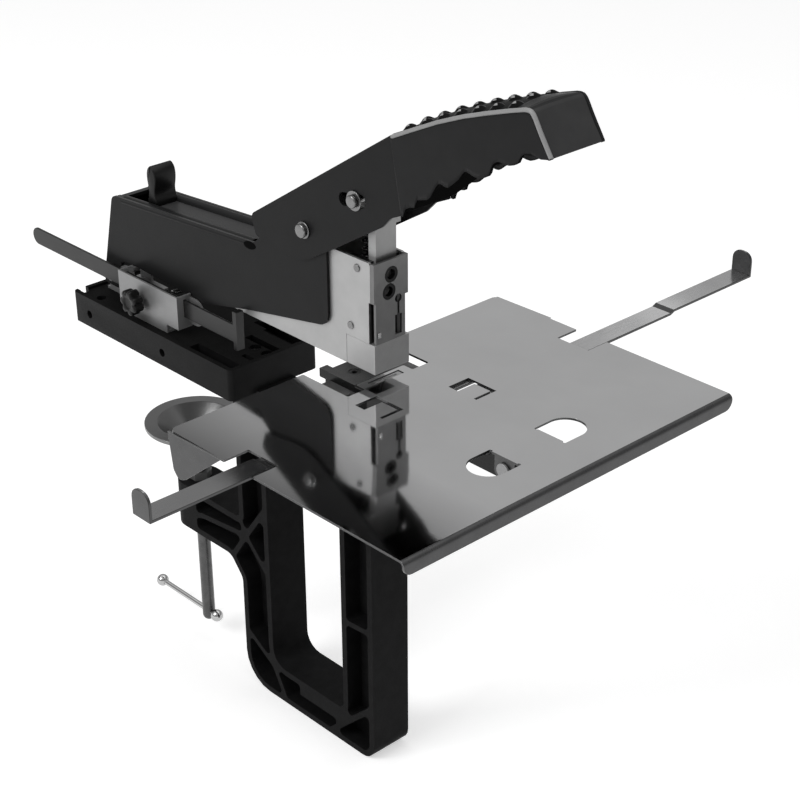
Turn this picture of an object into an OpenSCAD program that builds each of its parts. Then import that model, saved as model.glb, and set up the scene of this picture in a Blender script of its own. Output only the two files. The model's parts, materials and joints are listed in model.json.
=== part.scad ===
// Saddle stapler: a hand-lever stapler on a deep U frame that clamps to a table edge,
// with a sheet work plate, two side guides and a sliding depth rail.
// Frame of the part: origin on the clamp screw's axis, at the height of the table top that
// the base rests on. +X runs forward to the operator, +Z up, and Y = 0 is the middle plane.

/* [Base] */
// Length of the base casting
base_l = 150; // [140:1:165]
// Width of the base casting
base_w = 62.8; // [60:0.2:70]
// Height of the base casting at its rim
base_h = 19; // [18:0.5:22]
// Distance from the clamp screw forward to the base's front end
base_reach = 77.6; // [76:0.2:80]

/* [Clamp frame] */
// Width of the cast frame
frame_w = 27; // [26:0.5:32]
// Thickness of the rear leg, front to back
rear_leg_t = 26.2; // [24:0.2:30]
// Thickness of the front leg, front to back
front_leg_t = 26; // [25:0.2:30]
// Open length of the throat between the legs
throat_l = 63.4; // [60:0.2:75]
// Depth of the frame below the table top
frame_depth = 206; // [200:1:240]
// Height of the throat's floor above the frame's foot
foot_h = 24; // [22:0.5:30]
// Thickness of the central web
web_t = 5; // [4:0.5:7]
// Thickness of the outer wall round the web
rim_t = 4; // [3:0.5:5]
// Thickness of the diagonal ribs
rib_t = 3.4; // [3:0.2:5]
// Rounding where ribs and walls meet in the pockets
pocket_fillet = 2.6; // [1.5:0.1:3]

/* [Table clamp] */
// Diameter of the clamp screw
screw_d = 8; // [7:0.5:9]
// Diameter of the bell-shaped pad's rim
pad_d = 62; // [56:1:66]
// Height of the bell-shaped pad
pad_h = 30; // [28:0.5:34]
// Gap between the table top plane and the lowered pad's rim
clamp_gap = 52; // [50:0.5:54]
// Length of the tommy bar between its balls
bar_l = 57; // [50:1:60]
// Diameter of the tommy bar
bar_d = 3.5; // [3:0.1:4]
// Diameter of the tommy bar's balls
ball_d = 8; // [7:0.2:8.4]

/* [Work plate] */
// Length of the work plate, front to back
plate_l = 169; // [160:1:180]
// Width of the work plate
plate_w = 230.4; // [220:1:250]
// Height of the work plate's top above the table top
plate_z = 38; // [36:0.5:42]
// Sheet thickness of the work plate
plate_t = 1.2; // [1:0.1:1.5]
// Depth of the rolled front lip
lip_h = 8; // [7:0.5:12]
// Depth of the gusset flaps at the side edges
flap_h = 25.6; // [20:0.2:28]

/* [Side guides] */
// Width of a guide arm
guide_w = 13.2; // [12:0.1:13.4]
// Overall length of a guide arm
guide_l = 234; // [225:1:240]
// Sheet thickness of a guide arm
guide_t = 1.5; // [1:0.1:1.6]
// Height of a guide's upright stop
stop_h = 13.5; // [12:0.5:18]
// How far the left guide's stop stands out from the plate's side edge
left_reach = 59.3; // [56:0.1:60]
// How far the right guide's stop stands out from the plate's side edge
right_reach = 128.8; // [122:0.1:129]

/* [Depth stop] */
// Length of the sliding depth rail
rail_l = 197; // [180:1:200]
// Height of the depth rail's strip
rail_h = 10.6; // [10:0.1:11]
// Sheet thickness of the depth rail
rail_t = 1.5; // [1.2:0.1:1.6]
// Diameter of the locking knob
knob_d = 14.6; // [13:0.2:15]

/* [Stapling arm] */
// Width of the body shell
body_w = 27.8; // [27.6:0.1:28]
// Sheet thickness of the shells
shell_t = 1.5; // [1.2:0.1:1.6]
// Width of the magazine and head
head_w = 24; // [23.6:0.1:24.4]
// Open height between the anvil and the raised head
mouth_h = 7.2; // [7:0.1:8]
// Height of the head from the magazine floor to its top
head_h = 61; // [60:0.5:66]
// Length of the head's nose block
cap_l = 21.6; // [20:0.2:23]
// Width of a staple's crown
staple_w = 13; // [12.8:0.1:13.2]

/* [Handle] */
// Distance from the handle's pivot forward to the lower root of the grip
handle_reach = 74.7; // [72:0.5:80]
// Height of the grip's upper root above the handle's pivot
handle_rise = 68.6; // [66:0.5:72]
// Length of the moulded grip
grip_l = 103; // [95:1:115]
// Rise of the grip from its upper root to its end
grip_rise = 34.6; // [30:0.5:38]
// Width of the moulded grip
grip_w = 35.2; // [35:0.2:40]
// Diameter of the round grip studs
stud_d = 6; // [5:0.2:7]
// Diameter of the handle's pivot pin
pivot_d = 6; // [5.5:0.1:6.5]

/* [Hidden] */

// Facets of a round that another piece fits
round_fn = 48;
// Facets of small round details
small_fn = 24;
// Overrun of every cut past the face it opens
cut = 1;
// Radial clearance of a shaft or screw in its hole
fit_gap = 0.05;
// Clearance between flat faces that slide past each other
slide_gap = 0.2;
// Clearance between a spring or a loose round and its seat
seat_gap = 0.2;

// Ground plan: stations along X
base_rear = base_reach - base_l;
frame_lap = 4;
frame_seat = 1;
throat_rear = base_reach + frame_lap;
frame_rear = throat_rear - rear_leg_t;
throat_front = throat_rear + throat_l;
frame_front = throat_front + front_leg_t;

// Base casting
base_corner_r = 3;
base_rim_t = 3;
deck_drop = 1.5;
deck_z = base_h - deck_drop;
side_hole_r = 2.5;
side_hole_depth = 4.4;
side_hole_z = 8.4;
side_hole_x = [-56.5, 15];
top_hole_r = 3;
top_hole_inset = 7.9;
top_hole_x = base_rear + 18.1;
notch_r = 2.8;
notch_inset = 6.2;
notch_depth = 2.2;
pocket_x = [base_reach - 42.6, base_reach - 2.6];
pocket_y = [20, 28];
pocket_floor = 10.5;
slot_floor = 12;
slot_front = base_reach - 3.6;
slot_places = [[3.7, 4.9, 27], [17.4, 3.2, 27.5], [-12.6, 3.2, 10]];
hollow_h = 6.5;
hollow_wall = 8;
hollow_spans = [[-47, -16], [14, 46]];

// Screws that hold the base to the frame
frame_bolt_r = 2;
frame_bolt_l = 26;
frame_bolt_head_r = 3.5;
frame_bolt_head_h = 3.6;
frame_bolt_sink = 2;
frame_bolt_x = [base_reach - 16.6, base_reach - 6.1];

// Rear hinge of the stapling arm
arm_x = -56;
arm_rise = 11;
arm_z = base_h + arm_rise;
arm_pin_r = 3;
arm_pin_head_r = 4.6;
arm_pin_head_t = 1.1;
ear_r = 5.5;
ear_t = 1.6;
hinge_foot = [-64, -36];
hinge_gap = 0.4;
hinge_screw_x = -40;
hinge_screw_r = 2;
hinge_screw_l = 9;
hinge_screw_head_r = 3.4;
hinge_screw_head_h = 2.2;

// Magazine and head of the stapling arm
anvil_z = plate_z;
head_z = anvil_z + mouth_h;
head_front = frame_front + 3.6;
head_top = head_z + head_h;
sheet_t = 1.5;
magazine_h = 16.4;
magazine_rear = -20;
side_front = head_front - 2.9;
head_rear = frame_front - 53;
cap_rear = head_front - cap_l;

// Lift spring below the magazine
lift_x = -8;
lift_r = 4.4;
lift_wire = 1.2;
lift_turns = 6;

// Clamp frame
arm_z_top = 91;
arm_drop = 30;
neck_x = 10.4;
neck_z = 12.3;
foot_rear_r = 21;
foot_front_r = 10;
throat_rear_r = 11;
throat_front_r = 4;
leg_top = 30;
boss_wall = 4.8;
bush_r = 6;
bush_collar_r = 7.4;
bush_collar_h = 5;

// Table clamp
screw_r = screw_d / 2;
pad_rim_z = -clamp_gap;
pad_band = 7.5;
pad_wall = 2.4;
pad_neck_r = 8.4;
pad_neck_h = 10;
pad_floor_h = 14;
washer_r = 6.4;
washer_h = 2;
screw_end_z = -196;
bar_z = -190;
bar_left = -48.8;

// Anvil
anvil_half_w = 17.4;
anvil_rear = throat_front - 3.5;
anvil_lug = [-17.4, -12];
anvil_lug_l = 4.6;
anvil_lug_h = 5;
anvil_foot_half_w = 27.6;
anvil_foot_h = 3.6;
anvil_boss = [frame_front - 6.5, -23.4, 2.4, 2];
insert_l = 4.2;
insert_half_w = 10.6;
insert_h = 6;
insert_proud = -0.4;
groove_w = 1.6;
groove_depth = 0.8;
anvil_screw_r = 2;
anvil_screw_l = 18;
anvil_screw_head_r = 3.4;
anvil_screw_head_h = 3.5;
anvil_screw_y = 7;
anvil_screw_inset = 8;

// Work plate
plate_overhang = 8;
plate_rear = throat_front - plate_overhang;
plate_front = plate_rear + plate_l;
plate_under = plate_z - plate_t;
plate_corner_r = 4;
lip_r = 3;
lip_corner_r = 5;
slot_l = 35;
slot_half_w = 28.6;
tab_l = 7;
tab_half_w = 16.8;
tab_rear = plate_rear + slot_l - tab_l;
exit_half_w = 11;
exit_l = 4.6;
tongue_l = 20.3;
tongue_w = 14.6;
tongue_rear_gap = 7;
tongue_front_gap = 1.9;
tongue_end_gap = 2.5;
left_tongue = [44.3, -32];
right_tongue = [62.2, 16.4];
d_hole_x = 134;
d_hole_r = 10.4;
d_flat = 16.2;
d_straight = 27.6;
d_relief = 2;
d_tab_h = 11;
d_tab_l = 13;
edge_notch_l = 22.2;
edge_notch_w = 15.2;
left_notch_x = 43.2;
right_notch_x = 61.4;
flap_l = 42;
flap_shares = [[0, 0.03, 0], [0.07, 0.83, 0.1], [0.16, 1, 0.12], [0.29, 0.92, 0.12], [1, 0, 0]];

// Bracket that carries the work plate on the front leg
rest_t = 2;
rest_flange_h = 34;
rest_half_w = 14.8;
rest_z = 24.5;
rest_side_z = 32.6;
rest_reach = 109;
rest_pad_l = 8;
rest_bolt_r = 2.5;
rest_bolt_l = 14;
rest_bolt_head_r = 4.2;
rest_bolt_head_h = 4;
rest_bolt_z = [8, 18];
plate_pin_r = 2.5;
plate_pin_z = 30.8;
plate_pin_head_r = 4;
plate_pin_head_t = 1.2;

// Side guides
left_guide_x = throat_front + 43.6;
right_guide_x = throat_front + 60.6;
guide_joggle = 69.4;
joggle_l = 3;
stop_r = 5.5;
guide_play = 0.1;
keeper_t = 1.2;
keeper_l = 8;
left_keeper_y = [52, 87];
right_keeper_y = [40, 90];

// Depth stop
rail_y = 18.2;
rail_z = base_h + 10.4;
rail_rear = -130;
rail_flap_l = 3.5;
rail_flap_z = [-4.6, 18.6];
rail_flap_y = 14.4;
bracket_front_y = 24.5;
bracket_rear_y = 14.4;
bracket_t = 1.2;
bracket_x = [-33, 23];
bracket_z = [3.8, 23.7];
bracket_ear = 12.6;
bracket_ear_z = [5.4, 21.7];
bracket_foot_x = [-22, 12];
bracket_foot_l = 7;
bracket_screw_x = [-15, 5];
bracket_screw_y = 20;
bracket_screw_r = 1.5;
bracket_screw_l = 6;
bracket_screw_head_r = 2.4;
bracket_screw_head_h = 1.3;
knob_x = -12;
knob_z = rail_z + 1.6;
knob_t = 7;
knob_gap = 2.5;
knob_lobes = 8;
knob_flute_share = 0.22;
stud_r = 2;

// Body shell
body_rear_low = [-64.1, 22.5];
body_rear_high = [-48.7, 81.4];
body_mid = [81.7, 91.2];
body_front_x = head_front - 33.6;
body_low = [[-46, 22.5, 2], [-45, 41, 3], [-30, 42.3, 12], [34, 40, 30], [72.8, 49.2, 20],
    [body_front_x - 10, 60.4, 8], [body_front_x, 62.3, 8]];
body_ear = [[body_front_x, 108, 5], [body_front_x - 7, 123, 7], [body_front_x - 23, 123, 7],
    [body_front_x - 43, 104, 6]];
body_panel_drop = 2;
body_ridge_w = 4;
well_x = [-43, -14];
ridge_end = 3;

// Handle and its pins
pivot_x = head_front - 48.6;
pivot_z = 112;
pivot = [pivot_x, pivot_z];
handle_side_gap = 0.2;
handle_w = body_w + 2 * handle_side_gap + 2 * shell_t;
handle_low_shares = [[-0.53, -0.22, 3], [-0.05, -0.28, 30], [0.31, -0.052, 10], [0.5, 0.077, 20],
    [0.65, 0.178, 8], [0.785, 0.268, 6], [0.875, 0.366, 5], [1, 0.43, 0]];
handle_top_shares = [[0.91, 1, 0], [-0.58, -0.055, 4]];
core_shares = [[0.07, -0.45, 0], [0.6, 0.28, 0], [0.63, 0.6, 3], [0, -0.08, 0]];
pivot_head_r = 5.2;
pivot_head_t = 2;
clip_t = 0.8;
clip_r = 4.6;
drive_x = head_front - 9.1;
drive_z = 139;
drive_r = 2.25;
drive_slot_w = 7;
drive_slot_l = 20;
drive_slot_tilt = 10;
drive_slot_shift = 2;
drive_clip_r = 5.2;

// Grip
grip_wall = 2;
grip_root = [pivot_x + 0.91 * handle_reach, pivot_z + handle_rise];
grip_back_shares = [[0, 0], [0.255, 0.338], [0.563, 0.7], [0.843, 0.98]];
grip_end_share = 0.86;
grip_top_shares = [[grip_end_share, 1, 3], [0.843, 0.98, 0], [0.563, 0.7, 40], [0.255, 0.338, 30], [0, 0, 0]];
grip_tip_share = [1, 0.445];
grip_low_shares = [[0.065, -1.133, 0], [0.085, -1.1, 2], [0.163, -0.806, 4], [0.256, -0.68, 4],
    [0.32, -0.454, 4], [0.383, -0.46, 4], [0.486, -0.145, 4], [0.569, -0.171, 4],
    [0.628, -0.064, 3], [0.683, 0.142, 4], [0.746, 0.142, 3], [0.804, 0.223, 3],
    [0.85, 0.39, 3], [0.932, 0.367, 2], [1, 0.445, 1.5]];
stud_pitch = 11.5;
stud_rows = [-11, 0, 11];
stud_count = 7;
stud_first_share = 0.06;
stud_sink = 0.9;

// Ram, blade and return spring
ram_front = head_front - 3.8;
ram_l = 11;
ram_half_w = 7;
ram_t = 1.5;
ram_low = 92;
ram_low_l = 5.4;
ram_step_z = 126;
ram_wing_half_w = 10.2;
ram_wing_z = 122.7;
ram_top = 144;
lug_z = 131;
lug_rear = head_front - 22;
lug_half_w = 5.3;
blade_t = 1.2;
blade_low = head_z + 21;
blade_top = 118;
guide_rail_l = 18;
guide_rail_h = 44;
guide_front_h = 40;
spring_x = head_front - 15.6;
spring_r = 3.9;
spring_wire = 1.2;
spring_turns = 11;
seat_z = 91;
seat_t = 1.5;
seat_l = 13.6;
seat_arm_l = 5.2;
seat_half_w = 5.2;

// Front plate of the head
front_t = 1.7;
front_left_step = 1.1;
front_step_z = 39.4;
front_right = 9.4;
front_ear = 11.5;
bush_hole_r = 4.4;
upper_bush = [0, 52.8];
lower_bush = [-1.6, 43.8];
bush_wall = 1.7;
bush_len = 3;
front_slot_y = 4.7;
front_slot_z = [18.5, 29.4];
front_slot_w = 4.6;
front_slit_w = 1.4;
front_blob = [38.4, 2.3];
side_slit = 1.2;
clip_place = [-9.8, 20.4];
clip_size = [0.7, 1.8, 2.8];

// Rivets of the head
rivet_r = 1.5;
rivet_head_r = 2.1;
rivet_head_t = 0.7;
rivet_places = [[head_front - 12.4, 101.2], [head_front - 18, 67.7]];

// Staple rail and pusher
rail_core_w = 10.4;
rail_core_h = 10.6;
rail_core_t = 1.2;
rail_core_lift = 0.4;
pusher_l = 30;
pusher_t = 1.2;
pusher_front = cap_rear - 4;
drum_r = 5.4;
drum_w = 8;
tape_t = 0.3;
tape_turns = 5;

// Magazine latch
latch_x = -17;
latch_z = 66;
latch_half_w = 7.2;
latch_wide = [10, 95.5];
latch_tip_half_w = 8.4;
latch_top_z = 105.4;
latch_t = 6.2;
latch_front_x = -14.6;
latch_stem_t = 2.4;
latch_shoulder_z = 78;
latch_foot = 6;
latch_pin_r = 2;

// Direction of a vector in a plane
function unit(v) = v / norm(v);
// Short arc that rounds corner b, with radius b[2], between its neighbours a and c
function corner_arc(a, b, c, steps) =
    let (u = unit([a.x - b.x, a.y - b.y]),
        v = unit([c.x - b.x, c.y - b.y]),
        half = acos(u * v) / 2,
        centre = [b.x, b.y] + unit(u + v) * b[2] / sin(half),
        start = [b.x, b.y] + u * b[2] / tan(half) - centre,
        stop = [b.x, b.y] + v * b[2] / tan(half) - centre,
        first = atan2(start.y, start.x),
        turn = (atan2(stop.y, stop.x) - first + 540) % 360 - 180)
    [for (i = [0 : steps]) centre + b[2] * [cos(first + turn * i / steps), sin(first + turn * i / steps)]];
// Closed outline from corners written as [x, y, radius]
function outline(corners, steps = 5) =
    [for (i = [0 : len(corners) - 1])
        let (n = len(corners), a = corners[(i + n - 1) % n], b = corners[i], c = corners[(i + 1) % n])
        each b[2] > 0 ? corner_arc(a, b, c, steps) : [[b.x, b.y]]];
// Corners placed by their shares of a size, with real radii, from an origin
function placed(shares, origin, size) =
    [for (s = shares) [origin.x + s[0] * size.x, origin.y + s[1] * size.y, s[2]]];
// The same outline moved inwards by a wall, for corners listed anticlockwise
function inset(corners, wall) =
    [for (i = [0 : len(corners) - 1])
        let (n = len(corners), a = corners[(i + n - 1) % n], b = corners[i], c = corners[(i + 1) % n],
            e = unit([b.x - a.x, b.y - a.y]),
            f = unit([c.x - b.x, c.y - b.y]),
            shift = wall * ([-e.y, e.x] + [-f.y, f.x]) / (1 + e * f),
            convex = e.x * f.y - e.y * f.x > 0)
        [b.x + shift.x, b.y + shift.y, convex ? max(0, b[2] - wall) : b[2] + wall]];

// Upright plate of a profile drawn in X and Z, between two stations across the part
module upright(y0, y1) {
    translate([0, y1, 0]) rotate([90, 0, 0]) linear_extrude(y1 - y0) children();
}
// Cylinder along Y at a station in X and Z
module pin(x, z, r, y0, y1) {
    translate([x, y0, z]) rotate([-90, 0, 0]) cylinder(r = r, h = y1 - y0, $fn = round_fn);
}
// Block between two corners
module block(low, high) {
    translate(low) cube(high - low);
}
// The same piece on both sides of the middle plane
module both_sides() {
    children();
    mirror([0, 1, 0]) children();
}
// Straight bar of a flat profile between two points
module bar(a, b, w) {
    translate(a) rotate(atan2(b.y - a.y, b.x - a.x)) translate([0, -w / 2]) square([norm(b - a), w]);
}
// Screw standing head up at a point, which is the underside of its head
module screw_up(at, r, l, head_r, head_h) {
    translate(at) {
        translate([0, 0, -l]) cylinder(r = r, h = l, $fn = small_fn);
        difference() {
            cylinder(r = head_r, h = head_h, $fn = small_fn);
            translate([0, 0, head_h / 2]) cylinder(r = head_r / 2, h = head_h, $fn = 6);
        }
    }
}
// Helical spring standing on z = 0: one unbroken tube with flat closed end turns
function coil_point(t, turns, r, h, wire) =
    let (rise = h - wire, p = t / turns,
        climb = p < 1 / turns ? 0.5 * p * turns * p : p > 1 - 1 / turns ? 1 - 1 / turns - 0.5 * (1 - p) * turns * (1 - p)
            : p - 0.5 / turns)
    [r * cos(360 * t), r * sin(360 * t), wire / 2 + rise * climb / (1 - 1 / turns)];
// Least gap between neighbouring turns, measured from point to point along the wire
function coil_gap(turns, r, h, wire) = min([for (i = [0 : 8 * turns - 5], j = [i + 5 : min(i + 12, 8 * turns)])
    norm(coil_point(j / 8, turns, r, h, wire) - coil_point(i / 8, turns, r, h, wire))]) - wire;
module coil(turns, r, h, wire) {
    rings = 8 * turns;
    sides = 6;
    points = [for (i = [0 : rings])
        let (p = coil_point(i / 8, turns, r, h, wire), a = 360 * i / 8, out = [cos(a), sin(a), 0])
        for (k = [0 : sides - 1]) p + wire / 2 * (cos(360 * k / sides) * out + [0, 0, sin(360 * k / sides)])];
    skin = [for (i = [0 : rings - 1], k = [0 : sides - 1])
        let (a = i * sides + k, b = i * sides + (k + 1) % sides)
        each [[a, a + sides, b], [b, a + sides, b + sides]]];
    caps = [for (k = [1 : sides - 2]) each [[0, k, k + 1],
        [rings * sides, rings * sides + k + 1, rings * sides + k]]];
    polyhedron(points = points, faces = concat(skin, caps));
}

// Profile of the clamp frame, seen from the side
frame_corners = [[throat_rear, frame_seat, 0], [frame_rear, frame_seat, 0], [frame_rear, -arm_z_top, 3],
    [0, -arm_z_top, 0], [0, -arm_z_top - arm_drop, 0],
    [frame_rear - neck_x, -arm_z_top - arm_drop, 8],
    [frame_rear, -arm_z_top - arm_drop - neck_z, 8],
    [frame_rear, -frame_depth, foot_rear_r], [frame_front, -frame_depth, foot_front_r],
    [frame_front, leg_top, 0], [throat_front, leg_top, 0],
    [throat_front, foot_h - frame_depth, throat_front_r],
    [throat_rear, foot_h - frame_depth, throat_rear_r]];
// Where the ribs meet: below the arm and at the throat's rear lower corner
rib_node_a = [frame_rear + 0.2 * rear_leg_t, -arm_z_top - 0.35 * arm_drop];
rib_node_b = [throat_rear, foot_h - frame_depth - 2];
frame_ribs = [
    [rib_node_a, [throat_rear, -arm_z_top + 0.6 * arm_drop]],
    [rib_node_a, [throat_rear, -arm_z_top - arm_drop - 2]],
    [rib_node_a, [frame_rear - neck_x + 2, -arm_z_top - arm_drop]],
    [rib_node_a, [frame_rear, -arm_z_top]],
    [rib_node_a, [frame_rear - 1.4 * rear_leg_t, -arm_z_top - 0.5 * arm_drop]],
    [[frame_rear - 1.4 * rear_leg_t, -arm_z_top - 0.5 * arm_drop], [0, -arm_z_top - 0.72 * arm_drop]],
    [rib_node_b, [frame_rear, -frame_depth + 1.6 * foot_h]],
    [rib_node_b, [throat_rear + 0.5 * foot_h, -frame_depth]],
    [[throat_rear + foot_h, -frame_depth + 0.62 * foot_h], [throat_front, -frame_depth + 0.62 * foot_h]],
    [[throat_front - 0.6 * foot_h, -frame_depth], [frame_front, -frame_depth + 1.6 * foot_h]],
    [[throat_front, -frame_depth + 0.42 * frame_depth], [frame_front, -frame_depth + 0.43 * frame_depth]]];

module frame_pockets() {
    offset(r = pocket_fillet, $fn = small_fn) offset(delta = -pocket_fillet) difference() {
        polygon(outline(inset(frame_corners, rim_t)));
        for (rib = frame_ribs) bar(rib[0], rib[1], rib_t);
        // Solid metal round the clamp screw and behind the bolts of the base and the plate bracket
        translate([0, -arm_z_top - arm_drop]) square([frame_w / 2 - cut, arm_drop]);
        translate([frame_rear, -frame_bolt_l - rim_t]) square([rear_leg_t, frame_bolt_l + rim_t]);
        translate([throat_front, -rim_t]) square([front_leg_t, leg_top + rim_t]);
    }
}
module clamp_frame() {
    color([0.1, 0.1, 0.11]) difference() {
        union() {
            upright(-frame_w / 2, frame_w / 2) polygon(outline(frame_corners));
            translate([0, 0, -arm_z_top - arm_drop]) cylinder(r = frame_w / 2, h = arm_drop, $fn = 64);
        }
        both_sides() upright(web_t / 2, frame_w / 2 + cut) frame_pockets();
        translate([0, 0, -arm_z_top - arm_drop - cut])
            cylinder(r = bush_r + fit_gap, h = arm_drop + 2 * cut, $fn = round_fn);
        for (x = frame_bolt_x) translate([x, 0, -frame_bolt_l]) cylinder(r = frame_bolt_r + fit_gap,
            h = frame_bolt_l + frame_seat + cut, $fn = small_fn);
        for (z = rest_bolt_z) translate([frame_front - rest_bolt_l, 0, z]) rotate([0, 90, 0])
            cylinder(r = rest_bolt_r + fit_gap, h = rest_bolt_l + cut, $fn = small_fn);
        for (y = [-anvil_screw_y, anvil_screw_y])
            translate([throat_front + anvil_screw_inset, y, leg_top - anvil_screw_l])
                cylinder(r = anvil_screw_r + fit_gap, h = anvil_screw_l + cut, $fn = small_fn);
    }
}

// Plan of the base, with rounded upright corners
base_plan = [[base_rear, -base_w / 2, base_corner_r], [base_reach, -base_w / 2, base_corner_r],
    [base_reach, base_w / 2, base_corner_r], [base_rear, base_w / 2, base_corner_r]];
module base() {
    color([0.16, 0.16, 0.17]) difference() {
        linear_extrude(base_h) polygon(outline(base_plan));
        translate([0, 0, deck_z]) linear_extrude(deck_drop + cut) polygon(outline(inset(base_plan, base_rim_t)));
        for (y = [-1, 1]) translate([top_hole_x, y * (base_w / 2 - top_hole_inset), -cut])
            cylinder(r = top_hole_r, h = base_h + 2 * cut, $fn = round_fn);
        for (x = side_hole_x)
            pin(x, side_hole_z, side_hole_r, -base_w / 2 - cut, side_hole_depth - base_w / 2);
        both_sides() translate([base_rear + notch_depth, base_w / 2 - notch_inset, -cut]) {
            cylinder(r = notch_r, h = base_h + 2 * cut, $fn = round_fn);
            translate([-notch_depth - cut, -notch_r, 0]) cube([notch_depth + cut, 2 * notch_r, base_h + 2 * cut]);
        }
        both_sides() block([pocket_x[0], pocket_y[0], pocket_floor], [pocket_x[1], pocket_y[1], base_h]);
        for (s = slot_places) block([slot_front - s[2], s[0], slot_floor], [slot_front, s[0] + s[1], base_h]);
        for (h = hollow_spans) block([h[0], -base_w / 2 + hollow_wall, -cut], [h[1], base_w / 2 - hollow_wall, hollow_h]);
        // Pocket below, in which the frame's rear leg is seated
        block([frame_rear - fit_gap, -frame_w / 2 - fit_gap, -cut],
            [base_reach + cut, frame_w / 2 + fit_gap, frame_seat]);
        for (x = frame_bolt_x) translate([x, 0, -cut]) {
            cylinder(r = frame_bolt_r + fit_gap, h = base_h + cut, $fn = small_fn);
            translate([0, 0, cut + deck_z - frame_bolt_head_h - frame_bolt_sink])
                cylinder(r = frame_bolt_head_r + fit_gap, h = base_h, $fn = small_fn);
        }
        translate([hinge_screw_x, 0, deck_z - hinge_screw_l])
            cylinder(r = hinge_screw_r + fit_gap, h = hinge_screw_l + cut, $fn = small_fn);
        for (x = bracket_screw_x) translate([x, -bracket_screw_y, deck_z - bracket_screw_l])
            cylinder(r = bracket_screw_r + fit_gap, h = bracket_screw_l + cut, $fn = small_fn);
    }
}
module base_bolts() {
    color([0.2, 0.2, 0.2]) for (x = frame_bolt_x)
        screw_up([x, 0, deck_z - frame_bolt_head_h - frame_bolt_sink], frame_bolt_r,
            frame_bolt_l + deck_z - frame_bolt_head_h - frame_bolt_sink - cut, frame_bolt_head_r, frame_bolt_head_h);
}

// Rear hinge: a folded bracket on the base that carries the arm's pin
hinge_half_w = body_w / 2 - shell_t - hinge_gap;
module hinge_bracket() {
    color([0.55, 0.55, 0.56]) difference() {
        union() {
            block([hinge_foot[0], -hinge_half_w, deck_z], [hinge_foot[1], hinge_half_w, deck_z + ear_t]);
            both_sides() upright(hinge_half_w - ear_t, hinge_half_w) union() {
                translate([arm_x - ear_r, deck_z]) square([2 * ear_r, arm_z - deck_z]);
                translate([arm_x, arm_z]) circle(ear_r, $fn = round_fn);
            }
        }
        pin(arm_x, arm_z, arm_pin_r + fit_gap, -body_w, body_w);
        translate([hinge_screw_x, 0, deck_z - cut])
            cylinder(r = hinge_screw_r + fit_gap, h = ear_t + 2 * cut, $fn = small_fn);
    }
}
module hinge_screws() {
    color([0.6, 0.6, 0.6])
        screw_up([hinge_screw_x, 0, deck_z + ear_t], hinge_screw_r, hinge_screw_l + ear_t, hinge_screw_head_r,
            hinge_screw_head_h);
}
module arm_pivot_pin() {
    end = body_w / 2 + slide_gap;
    color([0.7, 0.7, 0.7]) {
        pin(arm_x, arm_z, arm_pin_r, -end, end);
        both_sides() pin(arm_x, arm_z, arm_pin_head_r, end, end + arm_pin_head_t);
    }
}
module lift_spring() {
    color([0.15, 0.15, 0.15]) translate([lift_x, 0, deck_z])
        coil(lift_turns, lift_r, head_z - deck_z - seat_gap, lift_wire);
}

// Depth rail bracket: a folded hat with slots in its returns
bracket_slot_z = [rail_z - slide_gap, rail_z + rail_h + slide_gap];
bracket_low = base_h + bracket_z[0];
bracket_high = base_h + bracket_z[1];
module rail_bracket() {
    ear_mid = base_h + (bracket_ear_z[0] + bracket_ear_z[1]) / 2;
    ear_half = (bracket_ear_z[1] - bracket_ear_z[0]) / 2;
    color([0.78, 0.78, 0.79]) difference() {
        union() {
            block([bracket_x[0], -bracket_front_y, bracket_low], [bracket_x[1], bracket_t - bracket_front_y, bracket_high]);
            for (x = [bracket_x[0], bracket_x[1] - bracket_t])
                block([x, -bracket_front_y, bracket_low], [x + bracket_t, -bracket_rear_y, bracket_high]);
            for (x = bracket_x) upright(-bracket_rear_y - bracket_t, -bracket_rear_y) union() {
                side = x == bracket_x[0] ? -1 : 1;
                translate([x + side * (bracket_ear - ear_half), ear_mid]) circle(ear_half, $fn = round_fn);
                translate([min(x, x + side * (bracket_ear - ear_half)), ear_mid - ear_half])
                    square([bracket_ear - ear_half, 2 * ear_half]);
            }
            block([bracket_foot_x[0], -bracket_front_y, deck_z],
                [bracket_foot_x[1], bracket_t - bracket_front_y, bracket_low]);
            block([bracket_foot_x[0], -bracket_front_y, deck_z],
                [bracket_foot_x[1], bracket_foot_l - bracket_front_y, deck_z + bracket_t]);
        }
        block([bracket_x[0] - cut, -rail_y - rail_t - slide_gap, bracket_slot_z[0]],
            [bracket_x[1] + cut, -rail_y + slide_gap, bracket_slot_z[1]]);
        for (x = bracket_screw_x) translate([x, -bracket_screw_y, deck_z - cut])
            cylinder(r = bracket_screw_r + fit_gap, h = bracket_t + 2 * cut, $fn = small_fn);
        pin(knob_x, knob_z, stud_r + fit_gap, -bracket_front_y - cut, cut - bracket_front_y + bracket_t);
    }
}
module bracket_screws() {
    color([0.75, 0.75, 0.75]) for (x = bracket_screw_x)
        screw_up([x, -bracket_screw_y, deck_z + bracket_t], bracket_screw_r, bracket_screw_l + bracket_t - cut,
            bracket_screw_head_r, bracket_screw_head_h);
}
module depth_rail() {
    front = rail_rear + rail_l;
    mid = rail_z + rail_h / 2;
    color([0.72, 0.72, 0.73]) {
        upright(-rail_y - rail_t, -rail_y) union() {
            translate([rail_rear + rail_h / 2, mid]) circle(rail_h / 2, $fn = round_fn);
            translate([rail_rear + rail_h / 2, rail_z]) square([rail_l - rail_h / 2, rail_h]);
        }
        upright(-rail_y - rail_t, -rail_flap_y) polygon(outline([
            [front, rail_z + rail_flap_z[0], 0], [front + rail_flap_l, rail_z + rail_flap_z[0], 0],
            [front + rail_flap_l, rail_z + rail_flap_z[1], 0], [front, rail_z + rail_flap_z[1], 0]]));
    }
}
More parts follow.
